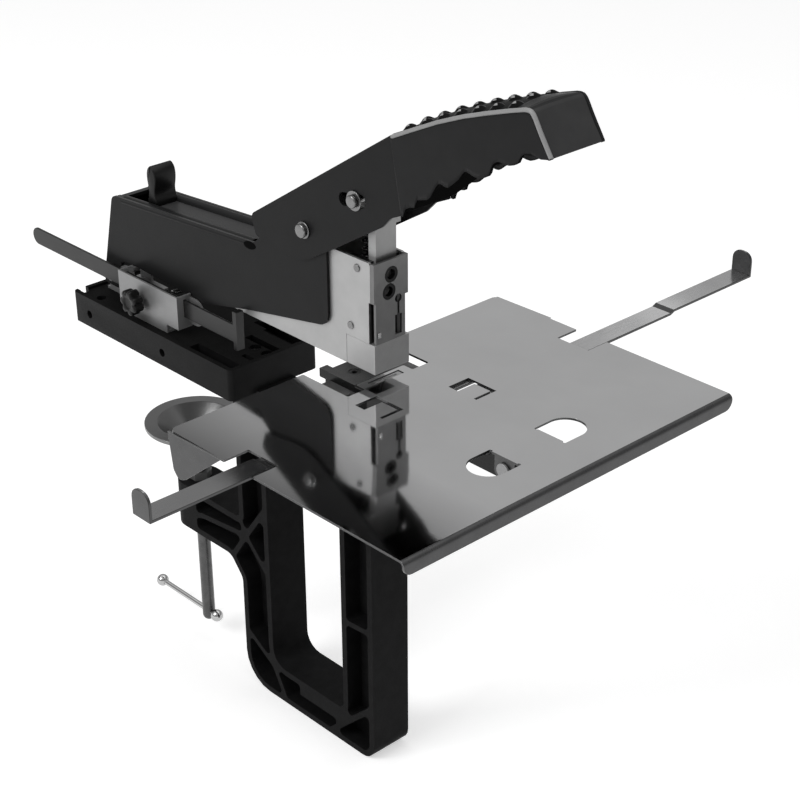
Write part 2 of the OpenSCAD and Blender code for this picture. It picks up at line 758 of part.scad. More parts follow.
module lock_knob() {
    y1 = -bracket_front_y - knob_gap;
    color([0.06, 0.06, 0.06]) difference() {
        pin(knob_x, knob_z, knob_d / 2, y1 - knob_t, y1);
        for (i = [0 : knob_lobes - 1]) translate([knob_x, 0, knob_z])
            rotate([0, i * 360 / knob_lobes, 0]) translate([knob_d / 2 + knob_flute_share * knob_d / 4, 0, 0])
            rotate([-90, 0, 0]) translate([0, 0, y1 - knob_t - cut])
            cylinder(r = knob_flute_share * knob_d / 2, h = knob_t + 2 * cut, $fn = small_fn);
        pin(knob_x, knob_z, stud_r + fit_gap, y1 - knob_t / 2, y1 + cut);
    }
}
module lock_stud() {
    y1 = -bracket_front_y - knob_gap;
    color([0.7, 0.7, 0.7]) pin(knob_x, knob_z, stud_r, y1 - knob_t / 2, -rail_y - rail_t - seat_gap);
}

// Table clamp
pad_neck_z = pad_rim_z - pad_h;
module clamp_bush() {
    color([0.6, 0.6, 0.6]) difference() {
        union() {
            translate([0, 0, -arm_z_top - arm_drop]) cylinder(r = bush_r, h = arm_drop, $fn = round_fn);
            translate([0, 0, -arm_z_top]) cylinder(r = bush_collar_r, h = bush_collar_h, $fn = 6);
        }
        translate([0, 0, -arm_z_top - arm_drop - cut])
            cylinder(r = screw_r + fit_gap, h = arm_drop + bush_collar_h + 2 * cut, $fn = round_fn);
    }
}
module clamp_pad() {
    rim_r = pad_d / 2;
    floor_z = pad_neck_z + pad_floor_h;
    color([0.5, 0.5, 0.5]) rotate_extrude($fn = 72) polygon([
        [screw_r + fit_gap, pad_neck_z], [pad_neck_r, pad_neck_z], [pad_neck_r, pad_neck_z + pad_neck_h],
        [rim_r - pad_band, pad_rim_z - pad_wall], [rim_r, pad_rim_z - pad_wall], [rim_r, pad_rim_z],
        [rim_r - pad_band, pad_rim_z], [pad_neck_r + fit_gap, floor_z], [screw_r + fit_gap, floor_z]]);
}
module clamp_screw() {
    tail_r = screw_r;
    color([0.35, 0.35, 0.35]) difference() {
        union() {
            translate([0, 0, screw_end_z + tail_r])
                cylinder(r = screw_r, h = pad_neck_z + pad_floor_h - screw_end_z - tail_r, $fn = round_fn);
            translate([0, 0, screw_end_z + tail_r]) sphere(r = tail_r, $fn = round_fn);
        }
        translate([-cut - screw_r, 0, bar_z]) rotate([0, 90, 0])
            cylinder(r = bar_d / 2 + fit_gap, h = screw_d + 2 * cut, $fn = small_fn);
    }
}
module pad_washer() {
    color([0.8, 0.8, 0.8]) translate([0, 0, pad_neck_z + pad_floor_h]) intersection() {
        cylinder(r = washer_r, h = washer_h, $fn = small_fn);
        translate([0, 0, washer_h - 2 * washer_r]) sphere(r = 2 * washer_r, $fn = round_fn);
    }
}
module tommy_bar() {
    color([0.8, 0.8, 0.8]) translate([bar_left, 0, bar_z]) rotate([0, 90, 0])
        cylinder(r = bar_d / 2, h = bar_l, $fn = small_fn);
}
module tommy_bar_balls() {
    color([0.8, 0.8, 0.8]) for (x = [bar_left, bar_left + bar_l]) difference() {
        translate([x, 0, bar_z]) sphere(r = ball_d / 2, $fn = round_fn);
        translate([bar_left, 0, bar_z]) rotate([0, 90, 0]) cylinder(r = bar_d / 2 + fit_gap, h = bar_l, $fn = small_fn);
    }
}

// Anvil on the front leg
insert_front = frame_front + 0.6;
module anvil_block() {
    color([0.12, 0.12, 0.12]) difference() {
        union() {
            block([anvil_rear, -anvil_half_w, leg_top], [frame_front, anvil_half_w, plate_under]);
            block([anvil_rear, -anvil_half_w, leg_top], [tab_rear - slide_gap, anvil_half_w, anvil_z]);
            block([anvil_rear - anvil_lug_l, anvil_lug[0], anvil_z - anvil_lug_h], [anvil_rear, anvil_lug[1], anvil_z]);
            // Low foot on both sides, seen through the plate's slot, with a boss on the left
            block([throat_front, -anvil_foot_half_w, leg_top], [frame_front, anvil_foot_half_w, leg_top + anvil_foot_h]);
            translate([anvil_boss[0], anvil_boss[1], leg_top])
                cylinder(r = anvil_boss[2], h = anvil_foot_h + anvil_boss[3], $fn = round_fn);
        }
        block([insert_front - insert_l, -insert_half_w, anvil_z - insert_h],
            [frame_front + cut, insert_half_w, anvil_z + cut]);
        for (y = [-anvil_screw_y, anvil_screw_y]) translate([throat_front + anvil_screw_inset, y, leg_top - cut]) {
            cylinder(r = anvil_screw_r + fit_gap, h = anvil_z, $fn = small_fn);
            translate([0, 0, cut + anvil_z - leg_top - anvil_screw_head_h])
                cylinder(r = anvil_screw_head_r + fit_gap, h = anvil_z, $fn = small_fn);
        }
    }
}
module clinch_insert() {
    top = anvil_z + insert_proud;
    mid = insert_front - insert_l / 2;
    color([0.85, 0.85, 0.85]) difference() {
        block([insert_front - insert_l, -insert_half_w, anvil_z - insert_h], [insert_front, insert_half_w, top]);
        both_sides() block([mid - groove_w / 2, groove_w / 2, top - groove_depth],
            [mid + groove_w / 2, staple_w / 2 + groove_w / 2, top + cut]);
    }
}
module anvil_screws() {
    color([0.3, 0.3, 0.3]) for (y = [-anvil_screw_y, anvil_screw_y])
        screw_up([throat_front + anvil_screw_inset, y, anvil_z - anvil_screw_head_h], anvil_screw_r,
            anvil_z - anvil_screw_head_h - leg_top + anvil_screw_l - cut, anvil_screw_head_r, anvil_screw_head_h - seat_gap);
}

// Bracket under the work plate: a folded channel bolted to the front leg
rest_pin_x = plate_rear + d_hole_x;
module plate_bracket() {
    front = frame_front + rest_reach;
    inner = rest_half_w - rest_t;
    profile = [[frame_front, rest_z, 0], [front, rest_z, 6], [front, plate_under, 4],
        [front - 2 * rest_pad_l, plate_under, 2], [front - 3 * rest_pad_l, rest_side_z, 2],
        [frame_front + 2 * rest_pad_l, rest_side_z, 2], [frame_front + rest_pad_l, plate_under, 2],
        [frame_front, plate_under, 0]];
    color([0.3, 0.3, 0.3]) difference() {
        union() {
            both_sides() upright(inner, rest_half_w) polygon(outline(profile));
            block([frame_front, -inner, rest_z], [front - lip_r * 2, inner, rest_z + rest_t]);
            block([frame_front, -inner, plate_under - rest_flange_h], [frame_front + rest_t, inner, rest_z]);
        }
        for (z = rest_bolt_z) translate([frame_front - cut, 0, z]) rotate([0, 90, 0])
            cylinder(r = rest_bolt_r + fit_gap, h = rest_t + 2 * cut, $fn = small_fn);
        pin(rest_pin_x, plate_pin_z, plate_pin_r + fit_gap, -plate_w, plate_w);
    }
}
module bracket_bolts() {
    color([0.4, 0.4, 0.4]) for (z = rest_bolt_z) translate([frame_front + rest_t, 0, z]) rotate([0, 90, 0])
        screw_up([0, 0, 0], rest_bolt_r, rest_bolt_l + rest_t - cut, rest_bolt_head_r, rest_bolt_head_h);
}
module d_hole() {
    x = rest_pin_x;
    block([x - d_hole_r, d_flat, plate_under - cut], [x + d_hole_r, d_straight, plate_z + cut]);
    translate([x, d_straight, plate_under - cut]) cylinder(r = d_hole_r, h = plate_t + 2 * cut, $fn = 72);
    for (side = [-1, 1]) translate([x + side * (d_hole_r - d_relief / 2), d_flat, plate_under - cut])
        cylinder(r = d_relief / 2, h = plate_t + 2 * cut, $fn = small_fn);
}
// Window in the plate, with a leaf of the sheet left standing in it over the guide arm
module tongue_cut(place) {
    translate([plate_rear + place[0], place[1], plate_under - cut]) linear_extrude(plate_t + 2 * cut) difference() {
        square([tongue_l, tongue_w]);
        translate([tongue_rear_gap, -cut])
            square([tongue_l - tongue_rear_gap - tongue_front_gap, tongue_w - tongue_end_gap + cut]);
    }
}
module work_plate() {
    rear_corner = [plate_rear, plate_w / 2];
    lip_mid = plate_front - lip_r;
    plan = [[plate_rear, -plate_w / 2, plate_corner_r], [lip_mid, -plate_w / 2, 0], [lip_mid, plate_w / 2, 0],
        [plate_rear, plate_w / 2, plate_corner_r], [plate_rear, slot_half_w, 1], [plate_rear + slot_l, slot_half_w, 1],
        [plate_rear + slot_l, tab_half_w, 1], [tab_rear, tab_half_w, 1], [tab_rear, -tab_half_w, 1],
        [plate_rear + slot_l, -tab_half_w, 1], [plate_rear + slot_l, -slot_half_w, 1],
        [plate_rear, -slot_half_w, 1]];
    color([0.62, 0.62, 0.63]) {
        difference() {
            translate([0, 0, plate_under]) linear_extrude(plate_t) polygon(outline(plan));
            both_sides() d_hole();
            block([insert_front + slide_gap - exit_l, -exit_half_w, plate_under - cut],
                [insert_front + slide_gap, exit_half_w, plate_z + cut]);
            tongue_cut(left_tongue);
            tongue_cut(right_tongue);
            block([plate_rear + left_notch_x, -plate_w / 2 - cut, plate_under - cut],
                [plate_rear + left_notch_x + edge_notch_l, edge_notch_w - plate_w / 2, plate_z + cut]);
            block([plate_rear + right_notch_x, plate_w / 2 - edge_notch_w, plate_under - cut],
                [plate_rear + right_notch_x + edge_notch_l, plate_w / 2 + cut, plate_z + cut]);
        }
        // Rolled front lip, with its lower corners rounded
        intersection() {
            upright(-plate_w / 2, plate_w / 2) union() {
                intersection() {
                    translate([lip_mid, plate_z - lip_r]) difference() {
                        circle(lip_r, $fn = round_fn);
                        circle(lip_r - plate_t, $fn = round_fn);
                    }
                    translate([lip_mid, plate_z - lip_r]) square(lip_r);
                }
                translate([plate_front - plate_t, plate_z - lip_h]) square([plate_t, lip_h - lip_r]);
            }
            translate([lip_mid - cut, 0, 0]) rotate([90, 0, 90]) linear_extrude(lip_r + 2 * cut) polygon(outline([
                [-plate_w / 2, plate_z - lip_h, lip_corner_r], [plate_w / 2, plate_z - lip_h, lip_corner_r],
                [plate_w / 2, plate_z, 0], [-plate_w / 2, plate_z, 0]]));
        }
        // Gusset flaps hanging from the side edges at the rear
        both_sides() upright(plate_w / 2, plate_w / 2 + plate_t) polygon(outline([for (s = flap_shares)
            [plate_rear + s[0] * flap_l, plate_z - s[1] * flap_h, s[2] * flap_h]]));
        // Ears bent down at the flats of the two windows
        both_sides() difference() {
            upright(d_flat - plate_t, d_flat) polygon(outline([
                [rest_pin_x - d_tab_l / 2, plate_under - d_tab_h, 3], [rest_pin_x + d_tab_l / 2, plate_under - d_tab_h, 3],
                [rest_pin_x + d_tab_l / 2, plate_under, 0], [rest_pin_x - d_tab_l / 2, plate_under, 0]]));
            pin(rest_pin_x, plate_pin_z, plate_pin_r + fit_gap, d_flat - 2 * plate_t, d_flat + cut);
        }
    }
}
module plate_pins() {
    inner = rest_half_w - rest_t - slide_gap;
    color([0.6, 0.6, 0.6]) both_sides() {
        pin(rest_pin_x, plate_pin_z, plate_pin_r, inner - plate_pin_head_t, d_flat + slide_gap);
        pin(rest_pin_x, plate_pin_z, plate_pin_head_r, d_flat + slide_gap, d_flat + slide_gap + plate_pin_head_t);
        pin(rest_pin_x, plate_pin_z, plate_pin_head_r, inner - plate_pin_head_t, inner);
    }
}

// Folded straps welded under the plate, two round each guide arm
module keeper(x, y) {
    low = plate_under - 2 * guide_play - guide_t - keeper_t;
    inner = [x - slide_gap, x + guide_w + slide_gap];
    block([inner[0] - keeper_t, y, low], [inner[1] + keeper_t, y + keeper_l, low + keeper_t]);
    for (side = [inner[0] - keeper_t, inner[1]])
        block([side, y, low], [side + keeper_t, y + keeper_l, plate_under]);
}
module guide_keepers() {
    color([0.7, 0.7, 0.71]) {
        for (y = left_keeper_y) mirror([0, 1, 0]) keeper(left_guide_x, y);
        for (y = right_keeper_y) keeper(right_guide_x, y);
    }
}

// Guide arm drawn towards +Y, its stop at y = reach
module guide(x, reach) {
    inner = reach - guide_l;
    step = reach - guide_joggle;
    top = plate_z;
    low = plate_under - guide_play - guide_t;
    high = top - guide_t;
    translate([x, 0, 0]) rotate([90, 0, 90]) linear_extrude(guide_w) polygon([
        [inner, low], [step - joggle_l, low], [step, high], [reach - guide_t, high],
        [reach - guide_t, top], [step - guide_t / 2, top], [step - guide_t / 2 - joggle_l, low + guide_t],
        [inner, low + guide_t]]);
    upright(reach - guide_t, reach) polygon(outline([[x, high, 0], [x + guide_w, high, 0],
        [x + guide_w, top + stop_h, stop_r], [x, top + stop_h, stop_r]]));
}
module left_guide() {
    color([0.7, 0.7, 0.71]) mirror([0, 1, 0]) guide(left_guide_x, plate_w / 2 + left_reach);
}
module right_guide() {
    color([0.7, 0.7, 0.71]) guide(right_guide_x, plate_w / 2 + right_reach);
}

// Body shell: a folded sheet housing open below
body_corners = concat([[body_rear_low.x, body_rear_low.y, 3]], body_low, body_ear,
    [[body_mid.x, body_mid.y, 3], [body_rear_high.x, body_rear_high.y, 5]]);
ridge_tilt = atan2(body_mid.y - body_rear_high.y, body_mid.x - body_rear_high.x);
module body_shell() {
    half = body_w / 2;
    top = body_rear_high.y + (well_x[1] - body_rear_high.x) * tan(ridge_tilt) - body_panel_drop;
    panel = [[well_x[1], top], [well_x[1], top - shell_t], [body_mid.x, body_mid.y - body_panel_drop - shell_t],
        [body_mid.x, body_mid.y - body_panel_drop]];
    color([0.18, 0.18, 0.18]) difference() {
        union() {
            both_sides() upright(half - shell_t, half) polygon(outline(body_corners));
            // Ridge along each top edge, where the sheet rolls over to the panel
            both_sides() translate([body_rear_high.x + ridge_end, half - body_ridge_w, body_rear_high.y - 2 * shell_t])
                rotate([0, -ridge_tilt, 0])
                cube([body_mid.x - body_rear_high.x - 2 * ridge_end, body_ridge_w - shell_t, 2 * shell_t]);
            upright(-half + shell_t, half - shell_t) polygon(panel);
            // Rear wall and the strip behind the well
            upright(-half + shell_t, half - shell_t) polygon([[body_rear_low.x, body_rear_low.y + 6],
                [body_rear_low.x + shell_t, body_rear_low.y + 6], [body_rear_high.x + shell_t, body_rear_high.y - 2 * shell_t],
                [well_x[0], body_rear_high.y - 2 * shell_t], [well_x[0], body_rear_high.y - shell_t / 2],
                [body_rear_high.x + 2, body_rear_high.y - shell_t / 2], [body_rear_high.x - 1, body_rear_high.y - 4]]);
        }
        pin(arm_x, arm_z, arm_pin_r + fit_gap, -body_w, body_w);
        pin(pivot_x, pivot_z, pivot_d / 2 + fit_gap, -body_w, body_w);
    }
}

// Head frame: one folded sheet that is the magazine's channel and the head's side plates
module head_frame() {
    half = head_w / 2;
    step = head_z + front_step_z;
    side = [[magazine_rear, head_z, 0], [cap_rear, head_z, 0], [cap_rear, head_z + magazine_h, 0],
        [side_front - side_slit, head_z + magazine_h, 0], [side_front - side_slit, step, 0], [side_front, step, 0],
        [side_front, head_top, 1.5], [head_rear, head_top, 6],
        [head_rear, head_z + magazine_h, 4], [magazine_rear, head_z + magazine_h, 2]];
    color([0.72, 0.72, 0.72]) difference() {
        union() {
            both_sides() upright(half - sheet_t, half) polygon(outline(side));
            block([magazine_rear, sheet_t - half, head_z], [cap_rear, half - sheet_t, head_z + sheet_t]);
        }
        both_sides() for (p = rivet_places) pin(p[0], p[1], rivet_r + fit_gap, half - 2 * sheet_t, half + cut);
        pin(pivot_x, pivot_z, pivot_d / 2 + fit_gap, -body_w, body_w);
    }
}
blade_front = ram_front - ram_t;
blade_rear = blade_front - blade_t;
module head_cap() {
    half = head_w / 2;
    passage = staple_w / 2 + slide_gap;
    top = head_z + magazine_h;
    color([0.66, 0.66, 0.66]) difference() {
        block([cap_rear, -half, head_z], [head_front, half, top]);
        block([cap_rear - cut, -passage, head_z + sheet_t], [blade_front + slide_gap, passage, top - 2 * sheet_t]);
        block([blade_rear - slide_gap, -passage, head_z - cut], [blade_front + slide_gap, passage, top + cut]);
        block([blade_rear - slide_gap - 6 * blade_t, -passage, head_z - cut], [blade_rear, passage, head_z + 2 * sheet_t]);
    }
}
module head_front_plate() {
    half = head_w / 2;
    low = head_z + magazine_h;
    step = head_z + front_step_z;
    color([0.5, 0.5, 0.5]) difference() {
        union() {
            translate([head_front - front_t, 0, 0]) rotate([90, 0, 90]) linear_extrude(front_t) polygon([
                [front_left_step - half, low], [front_right, low], [front_right, step], [front_ear, step],
                [front_ear, head_top], [-half, head_top], [-half, step], [front_left_step - half, step]]);
            block([side_front, -half, step], [head_front - front_t, sheet_t - half, head_top]);
            block([side_front, half - sheet_t - (half - front_ear), step], [head_front - front_t, front_ear, head_top]);
        }
        translate([head_front - front_t - cut, upper_bush[0], head_z + upper_bush[1]]) rotate([0, 90, 0])
            cylinder(r = bush_hole_r, h = front_t + 2 * cut, $fn = round_fn);
        translate([head_front - front_t - cut, lower_bush[0], head_z + lower_bush[1]]) rotate([0, 90, 0])
            cylinder(r = bush_hole_r, h = front_t + 2 * cut, $fn = round_fn);
        block([head_front - front_t - cut, front_slot_y - front_slot_w / 2, head_z + front_slot_z[0]],
            [head_front + cut, front_slot_y + front_slot_w / 2, head_z + front_slot_z[1]]);
        block([head_front - front_t - cut, front_slot_y - front_slit_w / 2, head_z + front_slot_z[0]],
            [head_front + cut, front_slot_y + front_slit_w / 2, head_z + front_blob[0]]);
        translate([head_front - front_t - cut, front_slot_y, head_z + front_blob[0]]) rotate([0, 90, 0])
            cylinder(r = front_blob[1], h = front_t + 2 * cut, $fn = small_fn);
    }
}
// Two black bushes pressed into the front plate, clear of the ram behind it
module head_bushes() {
    color([0.08, 0.08, 0.08]) for (b = [upper_bush, lower_bush]) difference() {
        translate([head_front - bush_len, b[0], head_z + b[1]]) rotate([0, 90, 0])
            cylinder(r = bush_hole_r - fit_gap, h = bush_len - seat_gap, $fn = round_fn);
        translate([head_front - bush_len - cut, b[0], head_z + b[1]]) rotate([0, 90, 0])
            cylinder(r = bush_hole_r - bush_wall, h = bush_len + 2 * cut, $fn = round_fn);
    }
}
module head_clip() {
    low = [head_front, clip_place[0], head_z + clip_place[1]];
    color([0.85, 0.85, 0.85]) block(low, low + clip_size);
}
module head_rivets() {
    half = head_w / 2;
    color([0.6, 0.6, 0.6]) both_sides() for (p = rivet_places) {
        pin(p[0], p[1], rivet_r, ram_half_w + 2 * slide_gap, half);
        pin(p[0], p[1], rivet_head_r, half, half + rivet_head_t);
    }
}
// Rails riveted inside the head's sides, between which the ram slides
module ram_guides() {
    half = head_w / 2 - sheet_t;
    low = head_z + magazine_h;
    color([0.45, 0.45, 0.45]) both_sides() difference() {
        union() {
            block([side_front - guide_rail_l, ram_half_w + slide_gap, low],
                [side_front - side_slit, half, low + guide_front_h]);
            // The top clears the ram's wings at the end of its stroke
            block([side_front - guide_rail_l, ram_half_w + slide_gap, low],
                [ram_front - ram_t - slide_gap, half, low + guide_rail_h]);
        }
        for (p = rivet_places) pin(p[0], p[1], rivet_r + fit_gap, ram_half_w, half + cut);
    }
}
module spring_seat() {
    half = ram_half_w + slide_gap;
    color([0.5, 0.5, 0.5]) {
        block([lug_rear, -half, seat_z - seat_t], [lug_rear + seat_arm_l, half, seat_z]);
        block([lug_rear + seat_arm_l, -seat_half_w, seat_z - seat_t], [lug_rear + seat_l, seat_half_w, seat_z]);
    }
}

// Inner rail that the staples straddle, with the pusher riding on it
core_low = head_z + sheet_t + rail_core_lift;
module staple_rail() {
    half = rail_core_w / 2;
    color([0.7, 0.7, 0.7]) {
        both_sides() block([magazine_rear, half - rail_core_t, head_z + sheet_t],
            [blade_rear - slide_gap - 6 * blade_t, half, head_z + sheet_t + rail_core_h]);
        block([magazine_rear, rail_core_t - half, head_z + sheet_t + rail_core_h - rail_core_t],
            [blade_rear - slide_gap - 6 * blade_t, half - rail_core_t, head_z + sheet_t + rail_core_h]);
    }
}
pusher_rear = pusher_front - pusher_l;
core_top = head_z + sheet_t + rail_core_h;
module pusher() {
    inner = rail_core_w / 2 + slide_gap;
    outer = inner + pusher_t;
    top = core_top + slide_gap;
    color([0.6, 0.6, 0.6]) {
        both_sides() block([pusher_rear, inner, head_z + sheet_t + slide_gap], [pusher_front, outer, top]);
        block([pusher_rear, -outer, top], [pusher_front, outer, top + pusher_t]);
        // Cheeks that hold the rolled spring
        both_sides() block([pusher_rear, drum_w / 2 + slide_gap, top + pusher_t],
            [pusher_rear + 2 * drum_r, drum_w / 2 + slide_gap + pusher_t, top + pusher_t + drum_r]);
    }
}
// Rolled ribbon that draws the pusher forward
module pusher_spring() {
    top = core_top + slide_gap + pusher_t + slide_gap + drum_r;
    color([0.5, 0.5, 0.5]) difference() {
        pin(pusher_rear + drum_r, top, drum_r, -drum_w / 2, drum_w / 2);
        pin(pusher_rear + drum_r, top, drum_r - tape_turns * tape_t, -drum_w, drum_w);
    }
}

// Latch: a lever in the well behind the panel, with a thick rounded head
module magazine_latch() {
    tip = latch_foot + latch_pin_r;
    x0 = latch_front_x - latch_t;
    front = [[-latch_half_w, latch_shoulder_z, 2], [latch_half_w, latch_shoulder_z, 2],
        [latch_half_w, latch_shoulder_z + latch_half_w, 6], [latch_wide[0], latch_wide[1], 7],
        [latch_tip_half_w, latch_top_z, 5], [-latch_tip_half_w, latch_top_z, 5],
        [-latch_wide[0], latch_wide[1], 7], [-latch_half_w, latch_shoulder_z + latch_half_w, 6]];
    color([0.14, 0.14, 0.14]) difference() {
        union() {
            intersection() {
                translate([x0, 0, 0]) rotate([90, 0, 90]) linear_extrude(latch_t) polygon(outline(front));
                upright(-body_w, body_w) polygon(outline([[x0, latch_shoulder_z, 0], [latch_front_x, latch_shoulder_z, 0],
                    [latch_front_x, latch_top_z, latch_t / 2 - slide_gap], [x0, latch_top_z, latch_t / 2 - slide_gap]]));
            }
            block([latch_x - latch_stem_t / 2, -latch_half_w, latch_z - tip],
                [latch_x + latch_stem_t / 2, latch_half_w, latch_shoulder_z + latch_stem_t]);
            pin(latch_x, latch_z, latch_pin_r + latch_stem_t / 2, -latch_half_w, latch_half_w);
        }
        pin(latch_x, latch_z, latch_pin_r + fit_gap, -body_w, body_w);
    }
}
module latch_pin() {
    end = body_w / 2 - shell_t;
    color([0.6, 0.6, 0.6]) pin(latch_x, latch_z, latch_pin_r, -end, end);
}

// Handle: a folded channel outside the body, its core carried on under the grip
handle_size = [handle_reach, handle_rise];
handle_corners = concat(placed(handle_low_shares, pivot, handle_size), placed(handle_top_shares, pivot, handle_size));
grip_size = [grip_l, grip_rise];
drive_tilt = drive_slot_tilt;
slot_mid = [drive_x, drive_z] - drive_slot_shift * [cos(drive_tilt), sin(drive_tilt)];
module drive_slot() {
    reach = drive_slot_l / 2 - drive_slot_w / 2;
    for (side = [-1, 1]) pin(slot_mid.x + side * reach * cos(drive_tilt), slot_mid.y + side * reach * sin(drive_tilt),
        drive_slot_w / 2, -handle_w, handle_w);
    upright(-handle_w, handle_w) bar(slot_mid - reach * [cos(drive_tilt), sin(drive_tilt)],
        slot_mid + reach * [cos(drive_tilt), sin(drive_tilt)], drive_slot_w);
}
module handle_shell() {
    half = handle_w / 2;
    tail = pivot + [handle_top_shares[1][0] * handle_reach, handle_top_shares[1][1] * handle_rise];
    root = grip_root;
    slope = unit(root - tail);
    down = [slope.y, -slope.x];
    core = placed(core_shares, grip_root, grip_size);
    color([0.19, 0.19, 0.19]) difference() {
        union() {
            both_sides() upright(half - shell_t, half) union() {
                polygon(outline(handle_corners));
                polygon(outline(core));
            }
            upright(-half, half) polygon([tail + 2 * shell_t * slope, tail + 2 * shell_t * slope + shell_t * down,
                root + shell_t * down, root]);
            upright(-half, half) polygon([[core[2].x, core[2].y - shell_t], [core[2].x - 2 * shell_t, core[2].y - shell_t],
                [core[3].x, core[3].y], [core[3].x, core[3].y - shell_t]]);
        }
        // The grip's back starts where the folded strip ends
        upright(-handle_w, handle_w) translate(root - [slide_gap, grip_wall + slide_gap]) square(2 * grip_wall);
        pin(pivot_x, pivot_z, pivot_d / 2 + fit_gap, -handle_w, handle_w);
        drive_slot();
    }
}
grip_corners = concat(placed(grip_low_shares, grip_root, grip_size), placed(grip_top_shares, grip_root, grip_size));
module grip_cover() {
    half = grip_w / 2;
    inner = handle_w / 2 + fit_gap;
    first = grip_root.x + stud_first_share * grip_l;
    back = [for (p = grip_back_shares) [grip_root.x + p.x * grip_l, grip_root.y + p.y * grip_rise]];
    end = grip_root + [grip_end_share * grip_l, grip_rise];
    tip = grip_root + [grip_tip_share.x * grip_l, grip_tip_share.y * grip_rise];
    color([0.1, 0.1, 0.1]) {
        both_sides() upright(inner, half) polygon(outline(grip_corners));
        // Back of the grip, closed at its end by a sloping face
        upright(-inner, inner) polygon(concat(back, [for (i = [len(back) - 1 : -1 : 0]) back[i] - [0, grip_wall]]));
        upright(-inner, inner) polygon([back[3], end, tip, tip - [2 * grip_wall, 0], end - [2 * grip_wall, grip_wall],
            back[3] - [0, grip_wall]]);
        for (i = [0 : stud_count - 1], y = stud_rows) {
            x = first + i * stud_pitch;
            z = grip_root.y + grip_rise * lookup((x - grip_root.x) / grip_l, grip_back_shares);
            translate([x, y, z - stud_sink]) intersection() {
                sphere(r = stud_d / 2, $fn = 20);
                translate([-stud_d, -stud_d, -stud_d / 4]) cube([2 * stud_d, 2 * stud_d, stud_d]);
            }
        }
    }
}
module pivot_pin() {
    half = handle_w / 2 + slide_gap;
    color([0.75, 0.75, 0.75]) {
        pin(pivot_x, pivot_z, pivot_d / 2, -half, half + 2 * clip_t);
        pin(pivot_x, pivot_z, pivot_head_r, -half - pivot_head_t, -half);
    }
}
module pivot_clips() {
    half = handle_w / 2 + slide_gap;
    color([0.65, 0.65, 0.65]) difference() {
        pin(pivot_x, pivot_z, clip_r, half, half + clip_t);
        pin(pivot_x, pivot_z, pivot_d / 2 + fit_gap, 0, handle_w);
    }
}

// Ram: a folded channel that carries the driver blade, with a lug over the return spring
module ram() {
    rear = ram_front - ram_l;
    inner = ram_half_w - ram_t;
    color([0.5, 0.5, 0.5]) difference() {
        union() {
            block([ram_front - ram_t, -ram_half_w, ram_low], [ram_front, ram_half_w, ram_top]);
            block([ram_front - ram_t, -ram_wing_half_w, ram_wing_z], [ram_front, ram_wing_half_w, ram_top]);
            both_sides() upright(inner, ram_half_w) polygon(outline([[ram_front - ram_low_l, ram_low, 2],
                [ram_front - ram_t, ram_low, 0], [ram_front - ram_t, ram_top, 0], [rear, ram_top, 4],
                [rear, ram_step_z, 3], [ram_front - ram_low_l, ram_step_z, 0]]));
            block([lug_rear, -lug_half_w, lug_z], [ram_front - ram_t, lug_half_w, lug_z + ram_t]);
            both_sides() block([rear, lug_half_w, lug_z], [ram_front - ram_t, inner, lug_z + ram_t]);
        }
        pin(drive_x, drive_z, drive_r + fit_gap, -handle_w, handle_w);
    }
}
module driver_blade() {
    half = staple_w / 2 - slide_gap / 2;
    shoulder = ram_low - ram_t;
    color([0.8, 0.8, 0.8]) {
        block([blade_rear, -half, blade_low], [blade_front, half, shoulder]);
        block([blade_rear, -lug_half_w, shoulder], [blade_front, lug_half_w, blade_top]);
    }
}
module drive_pin() {
    half = handle_w / 2 + slide_gap + clip_t;
    color([0.75, 0.75, 0.75]) pin(drive_x, drive_z, drive_r, -half - clip_t, half + clip_t);
}
module drive_pin_clips() {
    half = handle_w / 2 + slide_gap;
    color([0.8, 0.8, 0.8]) both_sides() difference() {
        pin(drive_x, drive_z, drive_clip_r, half, half + clip_t);
        pin(drive_x, drive_z, drive_r + fit_gap, 0, handle_w);
    }
}
module return_spring() {
    color([0.08, 0.08, 0.08]) translate([spring_x, 0, seat_z])
        coil(spring_turns, spring_r, lug_z - seat_z - seat_gap, spring_wire);
}

echo(lift_spring_least_gap = coil_gap(lift_turns, lift_r, head_z - deck_z - seat_gap, lift_wire),
    return_spring_least_gap = coil_gap(spring_turns, spring_r, lug_z - seat_z - seat_gap, spring_wire));

clamp_frame();
base();
base_bolts();
hinge_bracket();
hinge_screws();
arm_pivot_pin();
lift_spring();
rail_bracket();
bracket_screws();
clamp_bush();
clamp_screw();
clamp_pad();
pad_washer();
tommy_bar();
tommy_bar_balls();
anvil_block();
clinch_insert();
anvil_screws();
plate_bracket();
bracket_bolts();
work_plate();
plate_pins();
guide_keepers();
left_guide();
right_guide();
depth_rail();
lock_knob();
lock_stud();
body_shell();
head_frame();
head_cap();
head_front_plate();
head_bushes();
head_clip();
head_rivets();
ram_guides();
spring_seat();
staple_rail();
pusher();
pusher_spring();
magazine_latch();
latch_pin();
handle_shell();
grip_cover();
pivot_pin();
pivot_clips();
ram();
driver_blade();
drive_pin();
drive_pin_clips();
return_spring();
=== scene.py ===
"""Saddle stapler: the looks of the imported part, laid out as an add-on and run as a script.

Every piece is in metres in the part's own frame: +X forward to the operator, +Z up, the arm in
the plane Y = 0, and the origin on the clamp screw's axis at the height of the table top."""

